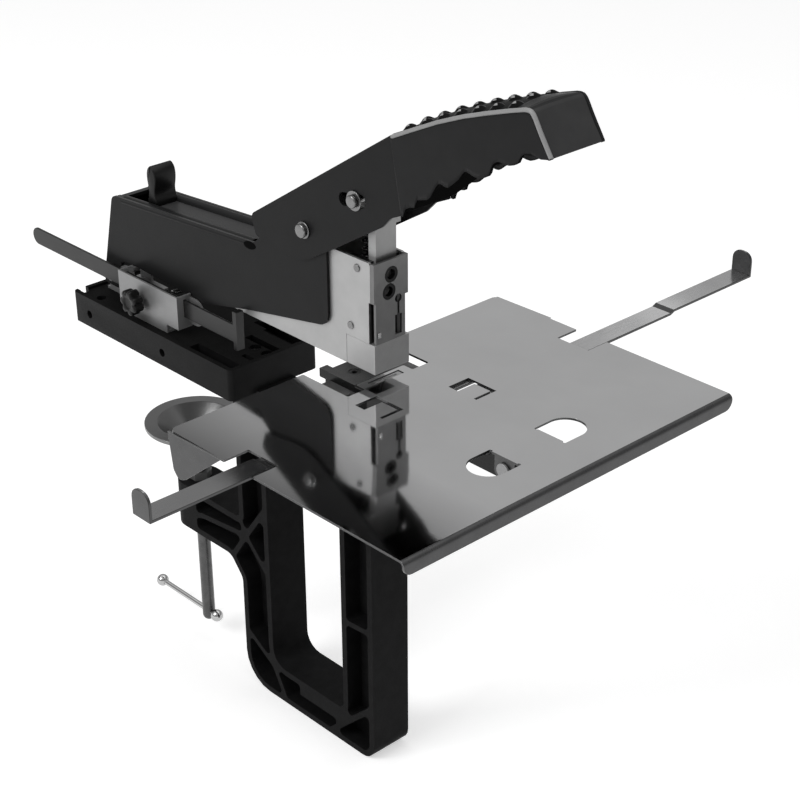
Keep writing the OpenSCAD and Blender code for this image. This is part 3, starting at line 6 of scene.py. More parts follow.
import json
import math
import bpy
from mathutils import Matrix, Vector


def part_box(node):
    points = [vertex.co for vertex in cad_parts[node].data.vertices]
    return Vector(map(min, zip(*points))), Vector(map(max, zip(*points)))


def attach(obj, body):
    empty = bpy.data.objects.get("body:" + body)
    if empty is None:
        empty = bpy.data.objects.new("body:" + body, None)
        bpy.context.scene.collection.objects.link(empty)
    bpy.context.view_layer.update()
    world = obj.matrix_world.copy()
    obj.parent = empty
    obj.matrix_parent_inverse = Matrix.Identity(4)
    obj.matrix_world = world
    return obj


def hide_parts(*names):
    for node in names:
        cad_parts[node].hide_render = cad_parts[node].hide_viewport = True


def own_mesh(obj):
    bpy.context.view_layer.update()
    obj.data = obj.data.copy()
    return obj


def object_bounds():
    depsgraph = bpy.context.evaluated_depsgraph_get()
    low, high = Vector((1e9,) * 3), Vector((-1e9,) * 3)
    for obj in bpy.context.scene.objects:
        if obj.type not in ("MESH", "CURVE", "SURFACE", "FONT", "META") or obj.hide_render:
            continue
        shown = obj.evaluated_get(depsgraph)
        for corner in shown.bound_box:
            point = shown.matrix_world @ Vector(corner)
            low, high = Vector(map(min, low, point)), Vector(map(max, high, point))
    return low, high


bl_info = {
    "name": "Saddle stapler",
    "version": (1, 0, 0),
    "blender": (4, 5, 0),
    "location": "3D View > Sidebar > Stapler",
    "description": "Dresses the packed saddle stapler with its rounded pieces, finishes and studio",
    "category": "Object",
}

import bmesh
import bpy
import numpy as np
from bpy.props import FloatProperty, FloatVectorProperty, PointerProperty
from mathutils import Matrix, Vector

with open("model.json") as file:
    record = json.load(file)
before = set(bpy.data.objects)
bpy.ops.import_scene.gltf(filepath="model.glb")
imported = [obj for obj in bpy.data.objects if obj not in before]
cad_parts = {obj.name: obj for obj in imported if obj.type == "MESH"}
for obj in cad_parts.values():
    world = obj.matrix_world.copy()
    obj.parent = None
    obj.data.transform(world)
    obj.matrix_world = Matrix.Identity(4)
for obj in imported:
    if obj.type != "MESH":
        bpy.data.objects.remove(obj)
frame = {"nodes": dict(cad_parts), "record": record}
CAD_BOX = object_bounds()
MM = 0.001
NODES = frame["nodes"]
BODY_OF = {node: body for body, nodes in frame["record"]["behaviour"]["bodies"].items() for node in nodes}
SLOT_OF = {row["node"]: row["material_slot"] for row in frame["record"]["subparts"]}

# Meshes
MERGE_GAP = 2e-6                    # points of a new piece that are closer than this become one, in metres
NODE_GAP = 4e-6                     # the same for a copy of a CAD node
FLAT_ANGLE = math.radians(0.6)      # faces of a CAD node that turn by less than this become one
UP, FORWARD, ACROSS = (0, 0, 1), (1, 0, 0), (0, 1, 0)
ANYWHERE, BEHIND_PLATE_EDGE = (-9, 9), (-9, 0.1)    # limits of X, in metres

# The arm's hinge and how far it swings, and how far the ram goes, in millimetres and radians
ARM_HINGE_X, ARM_SWING = -56, math.radians(1.6)
RAM_STROKE = 20.7
# The coil springs: the radius of the wire's middle, the wire's diameter and the number of turns
LIFT_COIL, RETURN_COIL = (4.4, 1.2, 6), (3.9, 1.2, 11)

# Stage, in metres and watts
FLOOR_REACH, FLOOR_GAP, FLOOR_TONE = 9, 0.0002, 0.82
FLOOR_GLOW = 0.46                   # light of the floor's own, which only the eye and mirrors see
WORLD_LEVEL = 0.45                  # light of the world on the part; the eye and mirrors see it at 1
BAND_RADIUS, BAND_LOW, BAND_HIGH, BAND_GLOW = 6, 0.35, 5.5, 0.4
LAMPS = (   # name, place, aim, width, power
    ("key_light", (-0.3, -1.7, 1.4), (0.1, 0, 0), 1.1, 24),
    ("fill_light", (1.7, 0.2, 1.5), (0.1, 0, 0), 1.3, 6),
    ("top_light", (0.25, 0.45, 2.1), (0.1, 0, 0.05), 1.1, 5))
CAMERA_PLACE = (0.8, -0.5757, 0.4698)
CAMERA_RIGHT = (0.6904, 0.7234)     # X and Y of the direction that the frame's right side points in
CAMERA_PITCH = math.radians(29.02)
CAMERA_SENSOR, CAMERA_LENS, CAMERA_SHIFT = 36, 82.8, (-0.0275, 0.06)


# Helpers that make a piece from arrays

def corners(node):
    """The lowest and the highest corner of a node at rest, in millimetres."""
    return [1000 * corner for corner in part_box(node)]


def shade(mesh, smooth):
    """Shades all faces of a mesh smooth or flat."""
    mesh.polygons.foreach_set("use_smooth", np.full(len(mesh.polygons), smooth))


def add_piece(name, node, points, faces, finish, smooth=True):
    """A piece from its points in metres and its faces, standing for a node and riding on its body."""
    mesh = bpy.data.meshes.new(name)
    mesh.from_pydata(np.asarray(points, float).tolist(), [], [list(map(int, f)) for f in faces])
    piece = bpy.data.objects.new(name, mesh)
    bpy.context.scene.collection.objects.link(piece)
    shade(mesh, smooth)
    mesh.materials.append(finish)
    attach(piece, BODY_OF[node])
    SLOT_OF[node]
    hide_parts(node)
    return piece


def grid_faces(rows, cols, round_rows=False, round_cols=False):
    """Quads of a grid of points, row after row; a round direction joins its last line to its first."""
    r = np.arange(rows if round_rows else rows - 1)
    c = np.arange(cols if round_cols else cols - 1)
    rr, cc = np.meshgrid(r, c, indexing="ij")
    r1, c1 = (rr + 1) % rows, (cc + 1) % cols
    return np.stack([rr * cols + cc, rr * cols + c1, r1 * cols + c1, r1 * cols + cc], -1).reshape(-1, 4)


def capped_faces(rows, cols):
    """Quads between the closed sections of a grid of points, one row each, and a face over each end."""
    ends = [list(range(cols)), list(range((rows - 1) * cols, rows * cols))]
    return grid_faces(rows, cols, False, True).tolist() + ends


def tidy(piece):
    """Merges doubled points, which closes seams and poles, and turns every face outwards."""
    bm = bmesh.new()
    bm.from_mesh(piece.data)
    bmesh.ops.remove_doubles(bm, verts=bm.verts, dist=MERGE_GAP)
    bmesh.ops.recalc_face_normals(bm, faces=bm.faces)
    bm.to_mesh(piece.data)
    bm.free()
    return piece


def softened(node, edge, finish, segments=2, angle=30):
    """A copy of a CAD node with its doubles merged, its flat faces joined, and the edges that turn by
    more than an angle, in degrees, rounded by edge, in metres."""
    source = NODES[node].data
    points = np.zeros(len(source.vertices) * 3)
    source.vertices.foreach_get("co", points)
    faces = [tuple(p.vertices) for p in source.polygons]
    piece = add_piece(node + "_finish", node, points.reshape(-1, 3), faces, finish)
    bm = bmesh.new()
    bm.from_mesh(piece.data)
    bmesh.ops.remove_doubles(bm, verts=bm.verts, dist=NODE_GAP)
    bmesh.ops.dissolve_limit(bm, angle_limit=FLAT_ANGLE, verts=bm.verts, edges=bm.edges)
    bm.to_mesh(piece.data)
    bm.free()
    shade(piece.data, True)
    bevel = piece.modifiers.new("edges", "BEVEL")
    bevel.width = edge
    bevel.segments = segments
    bevel.limit_method = "ANGLE"
    bevel.angle_limit = math.radians(angle)
    bevel.harden_normals = True
    bevel.use_clamp_overlap = True
    return piece


def turned(name, node, profile, centre, axis, finish, segments=64, lobes=None):
    """A turned piece: the profile's pairs of radius and height, in millimetres, run round an axis through
    the centre. Where lobes is given, it is a function of radius and angle that gives the new radius."""
    profile = np.asarray(profile, float)
    angle = np.linspace(0, 2 * np.pi, segments, endpoint=False)
    radius = np.repeat(profile[:, :1], segments, 1)
    if lobes is not None:
        radius = lobes(radius, angle[None, :])
    along = np.repeat(profile[:, 1:], segments, 1)
    flat = [radius * np.cos(angle), radius * np.sin(angle)]
    flat.insert("xyz".index(axis), along)
    points = np.stack(flat, -1).reshape(-1, 3) + np.asarray(centre, float)
    return tidy(add_piece(name, node, points * MM, grid_faces(len(profile), segments, False, True), finish))


def swept(name, node, path, section, side, finish, cap=True):
    """A closed section carried along a path, in millimetres: each of its points goes out along the side
    vector and along the cross product of side and the path's own direction. Cap closes its ends."""
    path, section = np.asarray(path, float), np.asarray(section, float)
    ahead = np.gradient(path, axis=0)
    ahead /= np.linalg.norm(ahead, axis=1, keepdims=True)
    side = np.broadcast_to(np.asarray(side, float), path.shape)
    side = side - ahead * np.sum(side * ahead, 1, keepdims=True)
    side /= np.linalg.norm(side, axis=1, keepdims=True)
    up = np.cross(side, ahead)
    points = path[:, None] + section[None, :, :1] * side[:, None] + section[None, :, 1:] * up[:, None]
    rows, cols = len(path), len(section)
    faces = capped_faces(rows, cols) if cap else grid_faces(rows, cols, False, True)
    return tidy(add_piece(name, node, points.reshape(-1, 3) * MM, faces, finish))


def ring(radius, count=16, flat=1.0):
    """Points of a circle, or of an ellipse whose second radius is flat times the first."""
    a = np.linspace(0, 2 * np.pi, count, endpoint=False)
    return np.stack([radius * np.cos(a), flat * radius * np.sin(a)], -1)


def wound(name, node, x, low, high, radius, wire_d, turns, finish):
    """A helical spring standing on low: the wire's middle goes round at a radius and climbs evenly, but
    for its end turns, where the climb starts and ends in nothing, so that they lie flat."""
    t = np.linspace(0, turns, turns * 28 + 1)
    q = t / turns
    climb = np.where(q < 1 / turns, 0.5 * q * q * turns,
                     np.where(q > 1 - 1 / turns, 1 - 1 / turns - 0.5 * (1 - q) ** 2 * turns, q - 0.5 / turns))
    z = low + wire_d / 2 + (high - low - wire_d) * climb / (1 - 1 / turns)
    a = 2 * np.pi * t
    path = np.stack([x + radius * np.cos(a), radius * np.sin(a), z], -1)
    out = np.stack([np.cos(a), np.sin(a), 0 * a], -1)
    return swept(name, node, path, ring(wire_d / 2, 12), out, finish)


def joined(name, node, parts, finish):
    """One piece from several lists of points in millimetres and faces."""
    points, faces, start = [], [], 0
    for part_points, part_faces in parts:
        points.append(part_points)
        faces += (np.asarray(part_faces) + start).tolist()
        start += len(part_points)
    return tidy(add_piece(name, node, np.concatenate(points) * MM, faces, finish))


# Finishes

def add_node(owner, kind, inputs=None):
    """A new shader node of a material or a world, with the values of its inputs."""
    node = owner.node_tree.nodes.new("ShaderNode" + kind)
    for name, value in (inputs or {}).items():
        node.inputs[name].default_value = value
    return node


def wire(owner, a, out, b, into):
    """Joins two sockets of a material's or a world's nodes."""
    owner.node_tree.links.new(a.outputs[out], b.inputs[into])


def seen_rays(owner):
    """A node whose value is 1 for the rays of the eye and of mirrors, and 0 for all others."""
    path, either = add_node(owner, "LightPath"), add_node(owner, "Math")
    either.operation = "MAXIMUM"
    wire(owner, path, "Is Camera Ray", either, 0)
    wire(owner, path, "Is Glossy Ray", either, 1)
    return either


def new_material(name, inputs):
    """A material and its shader, with the values of the shader's inputs."""
    material = bpy.data.materials.new(name)
    material.use_nodes = True
    shader = material.node_tree.nodes["Principled BSDF"]
    for socket, value in inputs.items():
        shader.inputs[socket].default_value = value
    return material, shader


def surface(name, colour, metal, rough, mottle, mottle_size, grain, grain_size, stretch=(1, 1, 1),
            depth=0.02, rough_spread=0.08, shine=0.5):
    """A finish on Object coordinates: slow mottling of the colour, and a grain that moves gloss and
    height. Sizes are in millimetres, and stretch lengthens the grain along an axis, as brushing does."""
    material, shader = new_material(name, {"Metallic": metal, "Specular IOR Level": shine})
    place = add_node(material, "TexCoord")
    turn = add_node(material, "Mapping", {"Scale": [1 / s for s in stretch]})
    slow = add_node(material, "TexNoise", {"Scale": 1 / (mottle_size * MM), "Detail": 4})
    fine = add_node(material, "TexNoise", {"Scale": 1 / (grain_size * MM), "Detail": 3})
    tint = add_node(material, "ValToRGB")
    for element, at, level in zip(tint.color_ramp.elements, (0.3, 0.7), (1 - mottle, 1 + mottle)):
        element.position = at
        element.color = [min(1, c * level) for c in colour] + [1]
    gloss = add_node(material, "MapRange", {
        "From Min": 0.5 - grain, "From Max": 0.5 + grain,
        "To Min": max(0.02, rough - rough_spread), "To Max": rough + rough_spread})
    bump = add_node(material, "Bump", {"Strength": 1, "Distance": depth * MM})
    for a, out, b, into in ((place, "Object", slow, "Vector"), (slow, "Fac", tint, "Fac"),
                            (tint, "Color", shader, "Base Color"), (place, "Object", turn, "Vector"),
                            (turn, "Vector", fine, "Vector"), (fine, "Fac", gloss, "Value"),
                            (gloss, "Result", shader, "Roughness"), (fine, "Fac", bump, "Height"),
                            (bump, "Normal", shader, "Normal")):
        wire(material, a, out, b, into)
    return material


def graded(material, low, high, reach):
    """Slowly changes a finish's colour across the part: from low times it at the first Y to high times it
    at the second, in metres."""
    shader = material.node_tree.nodes["Principled BSDF"]
    source = shader.inputs["Base Color"].links[0].from_node
    place, split = add_node(material, "TexCoord"), add_node(material, "SeparateXYZ")
    level = add_node(material, "MapRange", {"From Min": reach[0], "From Max": reach[1],
                                            "To Min": low, "To Max": high})
    scale = add_node(material, "VectorMath")
    scale.operation = "SCALE"
    wire(material, place, "Object", split, "Vector")
    wire(material, split, "Y", level, "Value")
    wire(material, source, "Color", scale, 0)
    wire(material, level, "Result", scale, "Scale")
    wire(material, scale, "Vector", shader, "Base Color")
    return material


def threaded(material, pitch=1.25):
    """Adds the turns of a screw's thread to a finish: level ridges one pitch, in millimetres, apart along
    the height. A wave of scale 1 has 20 turns to 2 pi metres."""
    place = add_node(material, "TexCoord")
    turns = add_node(material, "TexWave", {"Scale": 2 * math.pi / (20 * pitch * MM), "Distortion": 0})
    turns.bands_direction = "Z"
    turns.wave_profile = "TRI"
    grain = next(n for n in material.node_tree.nodes if n.type == "BUMP")
    ridges = add_node(material, "Bump", {"Distance": 0.1 * MM})
    wire(material, place, "Object", turns, "Vector")
    wire(material, turns, "Fac", ridges, "Height")
    wire(material, grain, "Normal", ridges, "Normal")
    wire(material, ridges, "Normal", material.node_tree.nodes["Principled BSDF"], "Normal")
    return material


def faced(piece, axis, material, least=0.7, most=None, within=ANYWHERE):
    """Gives another finish to the faces whose normal lies along an axis by at least one share, or by less
    than another where that is given, and whose middles are within two limits of X, in metres."""
    mesh = piece.data
    mesh.materials.append(material)
    normals, middles = np.zeros(len(mesh.polygons) * 3), np.zeros(len(mesh.polygons) * 3)
    index = np.zeros(len(mesh.polygons), int)
    mesh.polygons.foreach_get("normal", normals)
    mesh.polygons.foreach_get("center", middles)
    mesh.polygons.foreach_get("material_index", index)
    along = np.abs(normals.reshape(-1, 3) @ np.asarray(axis, float))
    chosen = along >= least if most is None else along < most
    chosen &= (middles[::3] > within[0]) & (middles[::3] < within[1])
    mesh.polygons.foreach_set("material_index", np.where(chosen, len(mesh.materials) - 1, index))
    mesh.update()
    return piece


# How each finish is made: metal, roughness, mottle and its size, grain and its size, and what else differs
COATS = {
    "frame_paint": (0, 0.5, 0.2, 6, 0.2, 0.9, dict(depth=0.05, shine=0.035)),
    "base_paint": (0, 0.42, 0.15, 8, 0.2, 0.8, dict(depth=0.04, shine=0.07)),
    # A darker, flatter copy of the base paint for the base's top faces and the grip's back: painted shade.
    "deck_paint": (0, 0.6, 0.15, 8, 0.2, 0.8, dict(depth=0.04, shine=0.03)),
    # A lighter copy of the shell coat for the body's top faces: painted light.
    "panel_coat": (0, 0.38, 0.07, 14, 0.2, 0.55, dict(depth=0.012, shine=0.09)),
    "shell_coat": (0, 0.38, 0.07, 14, 0.2, 0.55, dict(depth=0.012, shine=0.09)),
    "grip_plastic": (0, 0.36, 0.08, 10, 0.2, 0.5, dict(depth=0.015, shine=0.09)),
    # A darker copy of the grip plastic for the grip's back: painted shade.
    "grip_back": (0, 0.5, 0.08, 10, 0.2, 0.5, dict(depth=0.015, shine=0.02)),
    # A lighter copy of the grip plastic for the grip's end face: painted light.
    "grip_end": (0, 0.36, 0.08, 10, 0.2, 0.5, dict(depth=0.015, shine=0.09)),
    # Light grey of the near grip bead and of the studs' glints: painted highlight.
    "grip_bead": (0, 0.3, 0.08, 10, 0.2, 0.5, dict(depth=0.01, shine=0.4)),
    "stud_plastic": (0, 0.3, 0.1, 5, 0.2, 0.4, dict(depth=0.002, shine=0.03)),
    # Black of knob, latch and bushes, also used as painted shade on the anvil's and bracket's sides.
    "black_plastic": (0, 0.34, 0.1, 5, 0.2, 0.4, dict(depth=0.01, shine=0.2)),
    # Near-black without gloss for hollows and the grip's inside: painted shade.
    "black_hollow": (0, 0.7, 0.1, 5, 0.2, 0.4, dict(depth=0.01, shine=0)),
    "anvil_black": (0.2, 0.34, 0.12, 6, 0.2, 0.6, dict(depth=0.01, shine=0.25)),
    "pad_paint": (0.6, 0.31, 0.04, 12, 0.3, 0.7, dict(depth=0.0002, rough_spread=0.02, shine=0.4)),
    "spring_black": (0.6, 0.24, 0.12, 4, 0.25, 0.4, dict(depth=0.003, shine=0.3)),
    "satin_nickel": (0.6, 0.42, 0.05, 12, 0.25, 0.4, dict(stretch=(1, 1, 5), depth=0.006)),
    # Front and nose steel: darker copies of the satin nickel for the head's and ram's front faces, painted
    # shade.
    "front_steel": (0.8, 0.38, 0.07, 7, 0.25, 0.4, dict(stretch=(1, 1, 5), depth=0.006)),
    "nose_steel": (0.8, 0.38, 0.05, 7, 0.25, 0.4, dict(stretch=(1, 1, 5), depth=0.006)),
    "polished_steel": (1, 0.07, 0.03, 40, 0.3, 0.6,
                       dict(stretch=(24, 1, 1), depth=0.0006, rough_spread=0.02)),
    "guide_steel": (1, 0.2, 0.05, 20, 0.3, 0.5, dict(stretch=(1, 20, 1), depth=0.002, rough_spread=0.05)),
    # Sheet side and end: darker copies of the plate's and guides' steel for all faces but the tops, painted
    # shade.
    "sheet_side": (0.9, 0.3, 0.08, 9, 0.3, 0.5, dict(stretch=(8, 1, 1), depth=0.003, rough_spread=0.06)),
    "sheet_end": (0.9, 0.3, 0.08, 9, 0.3, 0.5, dict(stretch=(8, 1, 1), depth=0.0012, rough_spread=0.04)),
    # A darker copy of the plate steel for its rounded edges, setting how bright their highlight is: painted
    # shade.
    "edge_steel": (1, 0.2, 0.05, 9, 0.3, 0.5, dict(depth=0.001, rough_spread=0.03)),
    "rail_steel": (0.8, 0.34, 0.06, 16, 0.3, 0.5, dict(stretch=(20, 1, 1), depth=0.003, rough_spread=0.05)),
    "zinc": (0.6, 0.45, 0.05, 8, 0.25, 0.5, dict(stretch=(6, 1, 1), depth=0.003, rough_spread=0.05)),
    "pin_steel": (0.9, 0.26, 0.05, 5, 0.25, 0.5, dict(depth=0.002, rough_spread=0.04)),
    "chrome": (1, 0.1, 0.04, 6, 0.25, 0.6, dict(depth=0.001, rough_spread=0.03)),
    "screw_steel": (0.85, 0.3, 0.12, 4, 0.25, 0.4, dict(depth=0.004)),
    "oiled_steel": (0.9, 0.34, 0.15, 4, 0.25, 0.4, dict(depth=0.004)),
    "bright_steel": (1, 0.2, 0.04, 6, 0.25, 0.4, dict(stretch=(1, 8, 1), depth=0.002)),
}
# Finishes that change across the part: the colour's level at the first Y and at the second, and the two Ys
# Both darken the steel's reflection towards the near side, -Y: painted shade.
FADES = {"polished_steel": (0.3, 0.97, (-0.118, -0.055)), "guide_steel": (0.42, 0.8, (-0.13, 0.1))}


class Finishes(dict):
    """The finishes by name, each made when first asked for. The grip's back, a darker copy of the grip
    plastic as painted shade, has the colour of the base top's painted shade.
    """

    def __missing__(self, name):
        colours = bpy.context.scene.stapler_colours
        colour = list(colours.deck_paint if name == "grip_back" else getattr(colours, name))
        *numbers, others = COATS[name]
        self[name] = surface(name, colour, *numbers, **others)
        if name in FADES:
            graded(self[name], *FADES[name])
        if name == "screw_steel":
            threaded(self[name])
        return self[name]


finish = Finishes()


class StaplerSizes(bpy.types.PropertyGroup):
    """Sizes of the finishing touches, in metres."""
    sheet_edge: FloatProperty(name="Sheet edge", description="Rounding of the folded sheets' edges",
                              default=0.3 * MM, unit="LENGTH")
    cast_edge: FloatProperty(name="Cast edge", description="Rounding of the castings' edges",
                             default=0.7 * MM, unit="LENGTH")
    machined_edge: FloatProperty(name="Machined edge", description="Rounding of the machined pieces' edges",
                                 default=0.35 * MM, unit="LENGTH")
    body_edge: FloatProperty(name="Body edge", description="Rounding of the body shell's folds",
                             default=0.8 * MM, unit="LENGTH")
    plate_edge: FloatProperty(name="Plate edge", description="Rounding of plate, guides and bolts",
                              default=0.2 * MM, unit="LENGTH")
    small_edge: FloatProperty(name="Small edge", description="Rounding of pins, screws and clips",
                              default=0.15 * MM, unit="LENGTH")
    thin_edge: FloatProperty(name="Thin edge", description="Rounding of the blade and the pusher's ribbon",
                             default=0.1 * MM, unit="LENGTH")
    grip_wall: FloatProperty(name="Grip wall", description="Thickness of the moulded grip's wall",
                             default=1.85 * MM, unit="LENGTH")


def colour(name, description, value):
    """A colour property of the panel."""
    return FloatVectorProperty(name=name, description=description, subtype="COLOR", size=3, min=0, max=1,
                               default=value)


class StaplerColours(bpy.types.PropertyGroup):
    """Colours of the finishes, as linear numbers."""
    frame_paint: colour("Frame paint", "Satin black of the clamp frame", (0.0085, 0.0085, 0.00875))
    base_paint: colour("Base paint", "Satin black of the base", (0.0075, 0.0075, 0.00773))
    # Painted shade: the darker colour of the base's top faces and of the grip's back.
    deck_paint: colour("Deck paint", "Flat black of the deck and the grip's back", (0.0062, 0.0062, 0.0062))
    # Painted light: the lighter colour of the body shell's top faces.
    panel_coat: colour("Panel coat", "Charcoal coat of the body's top", (0.04, 0.04, 0.0405))
    # Painted light: the lighter colour of the grip's end face.
    grip_end: colour("Grip end", "Charcoal plastic of the grip's end", (0.046, 0.046, 0.0465))
    # Painted shade: the darker steel of flaps, stops and the guides' edges.
    sheet_end: colour("Sheet end", "Darker steel of flaps and stops", (0.036, 0.036, 0.036))
    # Painted shade: the plate's rounded edges made darker than its polished top to dim their highlight.
    edge_steel: colour("Edge steel", "Bright rounded edges of the plate", (0.42, 0.42, 0.42))
    pin_steel: colour("Pin steel", "Grey steel of pins and rivets", (0.2, 0.2, 0.2))
    # Painted shade: the darker metal of the front faces of the head's cap and the ram.
    nose_steel: colour("Nose steel", "Metal of the nose's front", (0.28, 0.28, 0.28))
    shell_coat: colour("Shell coat", "Charcoal coat of body and handle", (0.011, 0.011, 0.01133))
    grip_plastic: colour("Grip plastic", "Charcoal plastic of the grip", (0.013, 0.013, 0.01339))
    # Painted highlight: the light grey of the near bead and of the glints on the studs.
    grip_bead: colour("Grip bead", "Worn lighter edge round the grip", (0.27, 0.27, 0.27))
    stud_plastic: colour("Stud plastic", "Glossy black of the grip's studs", (0.0035, 0.0035, 0.0035))
    # Also the painted shade on the sides across Y of the anvil block and the plate's bracket.
    black_plastic: colour("Black plastic", "Black plastic of knob and latch", (0.004, 0.004, 0.004))
    # Painted shade: the black put in the rolled edges' hollows, their openings and inside the grip.
    black_hollow: colour("Black hollow", "Unlit inside of rolled edges and grip", (0.006, 0.006, 0.006))
    satin_nickel: colour("Satin nickel", "Light metal of the head's sides", (0.4, 0.4, 0.4))
    # Painted shade: the darker metal of the head frame's front faces and front plate.
    front_steel: colour("Front steel", "Darker metal of the head's front", (0.16, 0.16, 0.16))
    polished_steel: colour("Polished steel", "Mirror steel of the work plate", (0.86, 0.86, 0.865))
    # Painted shade: the darker steel of the sheets' sides, undersides and flaps.
    sheet_side: colour("Sheet side", "Darker unpolished sides of the sheets", (0.075, 0.075, 0.076))
    guide_steel: colour("Guide steel", "Bright steel of the side guides", (0.85, 0.85, 0.855))
    rail_steel: colour("Rail steel", "Grey steel of the depth rail", (0.036, 0.036, 0.036))
    zinc: colour("Zinc", "Plated steel of the rail's bracket", (0.27, 0.27, 0.272))
    chrome: colour("Chrome", "Bright plating of the bar", (0.5, 0.5, 0.5))
    screw_steel: colour("Screw steel", "Grey steel of the clamp's screw", (0.095, 0.095, 0.095))
    oiled_steel: colour("Oiled steel", "Dark steel of small screws", (0.07, 0.07, 0.07))
    spring_black: colour("Spring black", "Black oxide of the coil springs", (0.03, 0.03, 0.03))
    pad_paint: colour("Pad paint", "Grey of the bell-shaped pad", (0.2, 0.2, 0.2))
    anvil_black: colour("Anvil black", "Black of the anvil block", (0.08, 0.08, 0.08))
    bright_steel: colour("Bright steel", "Ground steel of insert and clip", (0.6, 0.6, 0.6))


def sizes():
    """The sizes of the panel."""
    return bpy.context.scene.stapler_sizes


class STAPLER_OT_stage(bpy.types.Operator):
    """Makes the pale floor, the grey band, the world, the soft lights and the camera"""
    bl_idname = "stapler.stage"
    bl_label = "Stage"

    def execute(self, context):
        scene = context.scene
        scene.view_settings.view_transform = "Standard"
        floor_z = CAD_BOX[0][2] - FLOOR_GAP
        mesh = bpy.data.meshes.new("floor")
        mesh.from_pydata([(x * FLOOR_REACH, y * FLOOR_REACH, floor_z)
                          for x, y in ((-1, -1), (1, -1), (1, 1), (-1, 1))], [], [(0, 1, 2, 3)])
        floor = bpy.data.objects.new("floor", mesh)
        scene.collection.objects.link(floor)
        mesh.materials.append(self.floor_paint())
        self.band(scene)
        self.world(scene)
        for name, place, aim, width, power in LAMPS:
            lamp = bpy.data.lights.new(name, "AREA")
            lamp.size = width
            lamp.energy = power
            light = bpy.data.objects.new(name, lamp)
            look = (Vector(aim) - Vector(place)).to_track_quat("-Z", "Y")
            light.matrix_world = Matrix.Translation(place) @ look.to_matrix().to_4x4()
            scene.collection.objects.link(light)
        self.camera(scene)
        return {"FINISHED"}

    @staticmethod
    def band(scene):
        """A grey band round the studio, which only polished metal shows: two circles, one above the
        other, joined by quads."""
        count = 96
        circle = ring(BAND_RADIUS, count)
        points = [(x, y, z) for z in (BAND_LOW, BAND_HIGH) for x, y in circle]
        mesh = bpy.data.meshes.new("grey_band")
        mesh.from_pydata(points, [], grid_faces(2, count, False, True).tolist())
        band = bpy.data.objects.new("grey_band", mesh)
        scene.collection.objects.link(band)
        for rays in ("camera", "diffuse", "shadow", "transmission", "volume_scatter"):
            setattr(band, "visible_" + rays, False)
        paint, _ = new_material("band_paint", {
            "Base Color": (0, 0, 0, 1), "Specular IOR Level": 0,
            "Emission Color": (1, 1, 1, 1), "Emission Strength": BAND_GLOW})
        mesh.materials.append(paint)

    @staticmethod
    def floor_paint():
        """Pale floor that keeps the shadow: matt white with a little light of its own for eye and mirror."""
        paint, shader = new_material("floor_paint", {
            "Base Color": (FLOOR_TONE, FLOOR_TONE, FLOOR_TONE, 1), "Roughness": 0.9,
            "Specular IOR Level": 0.1, "Emission Color": (1, 1, 1, 1)})
        lift = add_node(paint, "Math")
        lift.operation = "MULTIPLY"
        lift.inputs[1].default_value = FLOOR_GLOW
        wire(paint, seen_rays(paint), "Value", lift, 0)
        wire(paint, lift, "Value", shader, "Emission Strength")
        return paint

    @staticmethod
    def world(scene):
        """Even world light, and white for the eye and for mirrors."""
        world = bpy.data.worlds.new("studio")
        scene.world = world
        world.use_nodes = True
        ground = world.node_tree.nodes["Background"]
        ground.inputs["Color"].default_value = (1, 1, 1, 1)
        strength = add_node(world, "MapRange", {"To Min": WORLD_LEVEL, "To Max": 1})
        wire(world, seen_rays(world), "Value", strength, "Value")
        wire(world, strength, "Result", ground, "Strength")

    @staticmethod
    def camera(scene):
        """The camera at the photograph's viewing angle, with a small shift of its frame."""
        right = Vector((*CAMERA_RIGHT, 0)).normalized()
        level = math.cos(CAMERA_PITCH)
        drop = math.sin(CAMERA_PITCH)
        ahead = Vector((-CAMERA_RIGHT[1] * level, CAMERA_RIGHT[0] * level, -drop)).normalized()
        turn = Matrix((right, right.cross(ahead), -ahead)).transposed().to_4x4()
        lens = bpy.data.cameras.new("camera")
        lens.sensor_width = CAMERA_SENSOR
        lens.lens = CAMERA_LENS
        lens.shift_x, lens.shift_y = CAMERA_SHIFT
        lens.clip_start = 0.01
        eye = bpy.data.objects.new("camera", lens)
        eye.matrix_world = Matrix.Translation(CAMERA_PLACE) @ turn
        scene.collection.objects.link(eye)
        scene.camera = eye


def soften(finish_name, edge, *nodes, segments=2, angle=30):
    """Rounded copies of several CAD nodes in one finish, with the edge in metres."""
    return [softened(node, edge, finish[finish_name], segments, angle) for node in nodes]


def headed_pin(name, node, x, z, shank, head, near, far):
    """A cross pin turned round Y, in millimetres: a rounded head at the near end, a neck and a chamfer."""
    profile = [(0, near - 1.5), (head - 0.7, near - 1.5), (head - 0.2, near - 1.3), (head, near - 0.9),
               (head, near - 0.1), (head - 0.3, near + 0.2), (shank - 0.3, near + 0.3),
               (shank - 0.3, near + 0.9), (shank, near + 1.1), (shank, far - 0.4), (shank - 0.4, far),
               (0, far)]
    return turned(name, node, profile, (x, 0, z), "y", finish["pin_steel"], 48)


class STAPLER_OT_castings(bpy.types.Operator):
    """Makes the clamp frame and the base"""
    bl_idname = "stapler.castings"
    bl_label = "Castings"

    def execute(self, context):
        soften("frame_paint", sizes().cast_edge, "clamp_frame", angle=40)
        base = soften("base_paint", sizes().machined_edge, "base")[0]
        # The base's top faces get a darker, flatter copy of its paint: painted shade.
        faced(base, UP, finish["deck_paint"], 0.9)
        return {"FINISHED"}


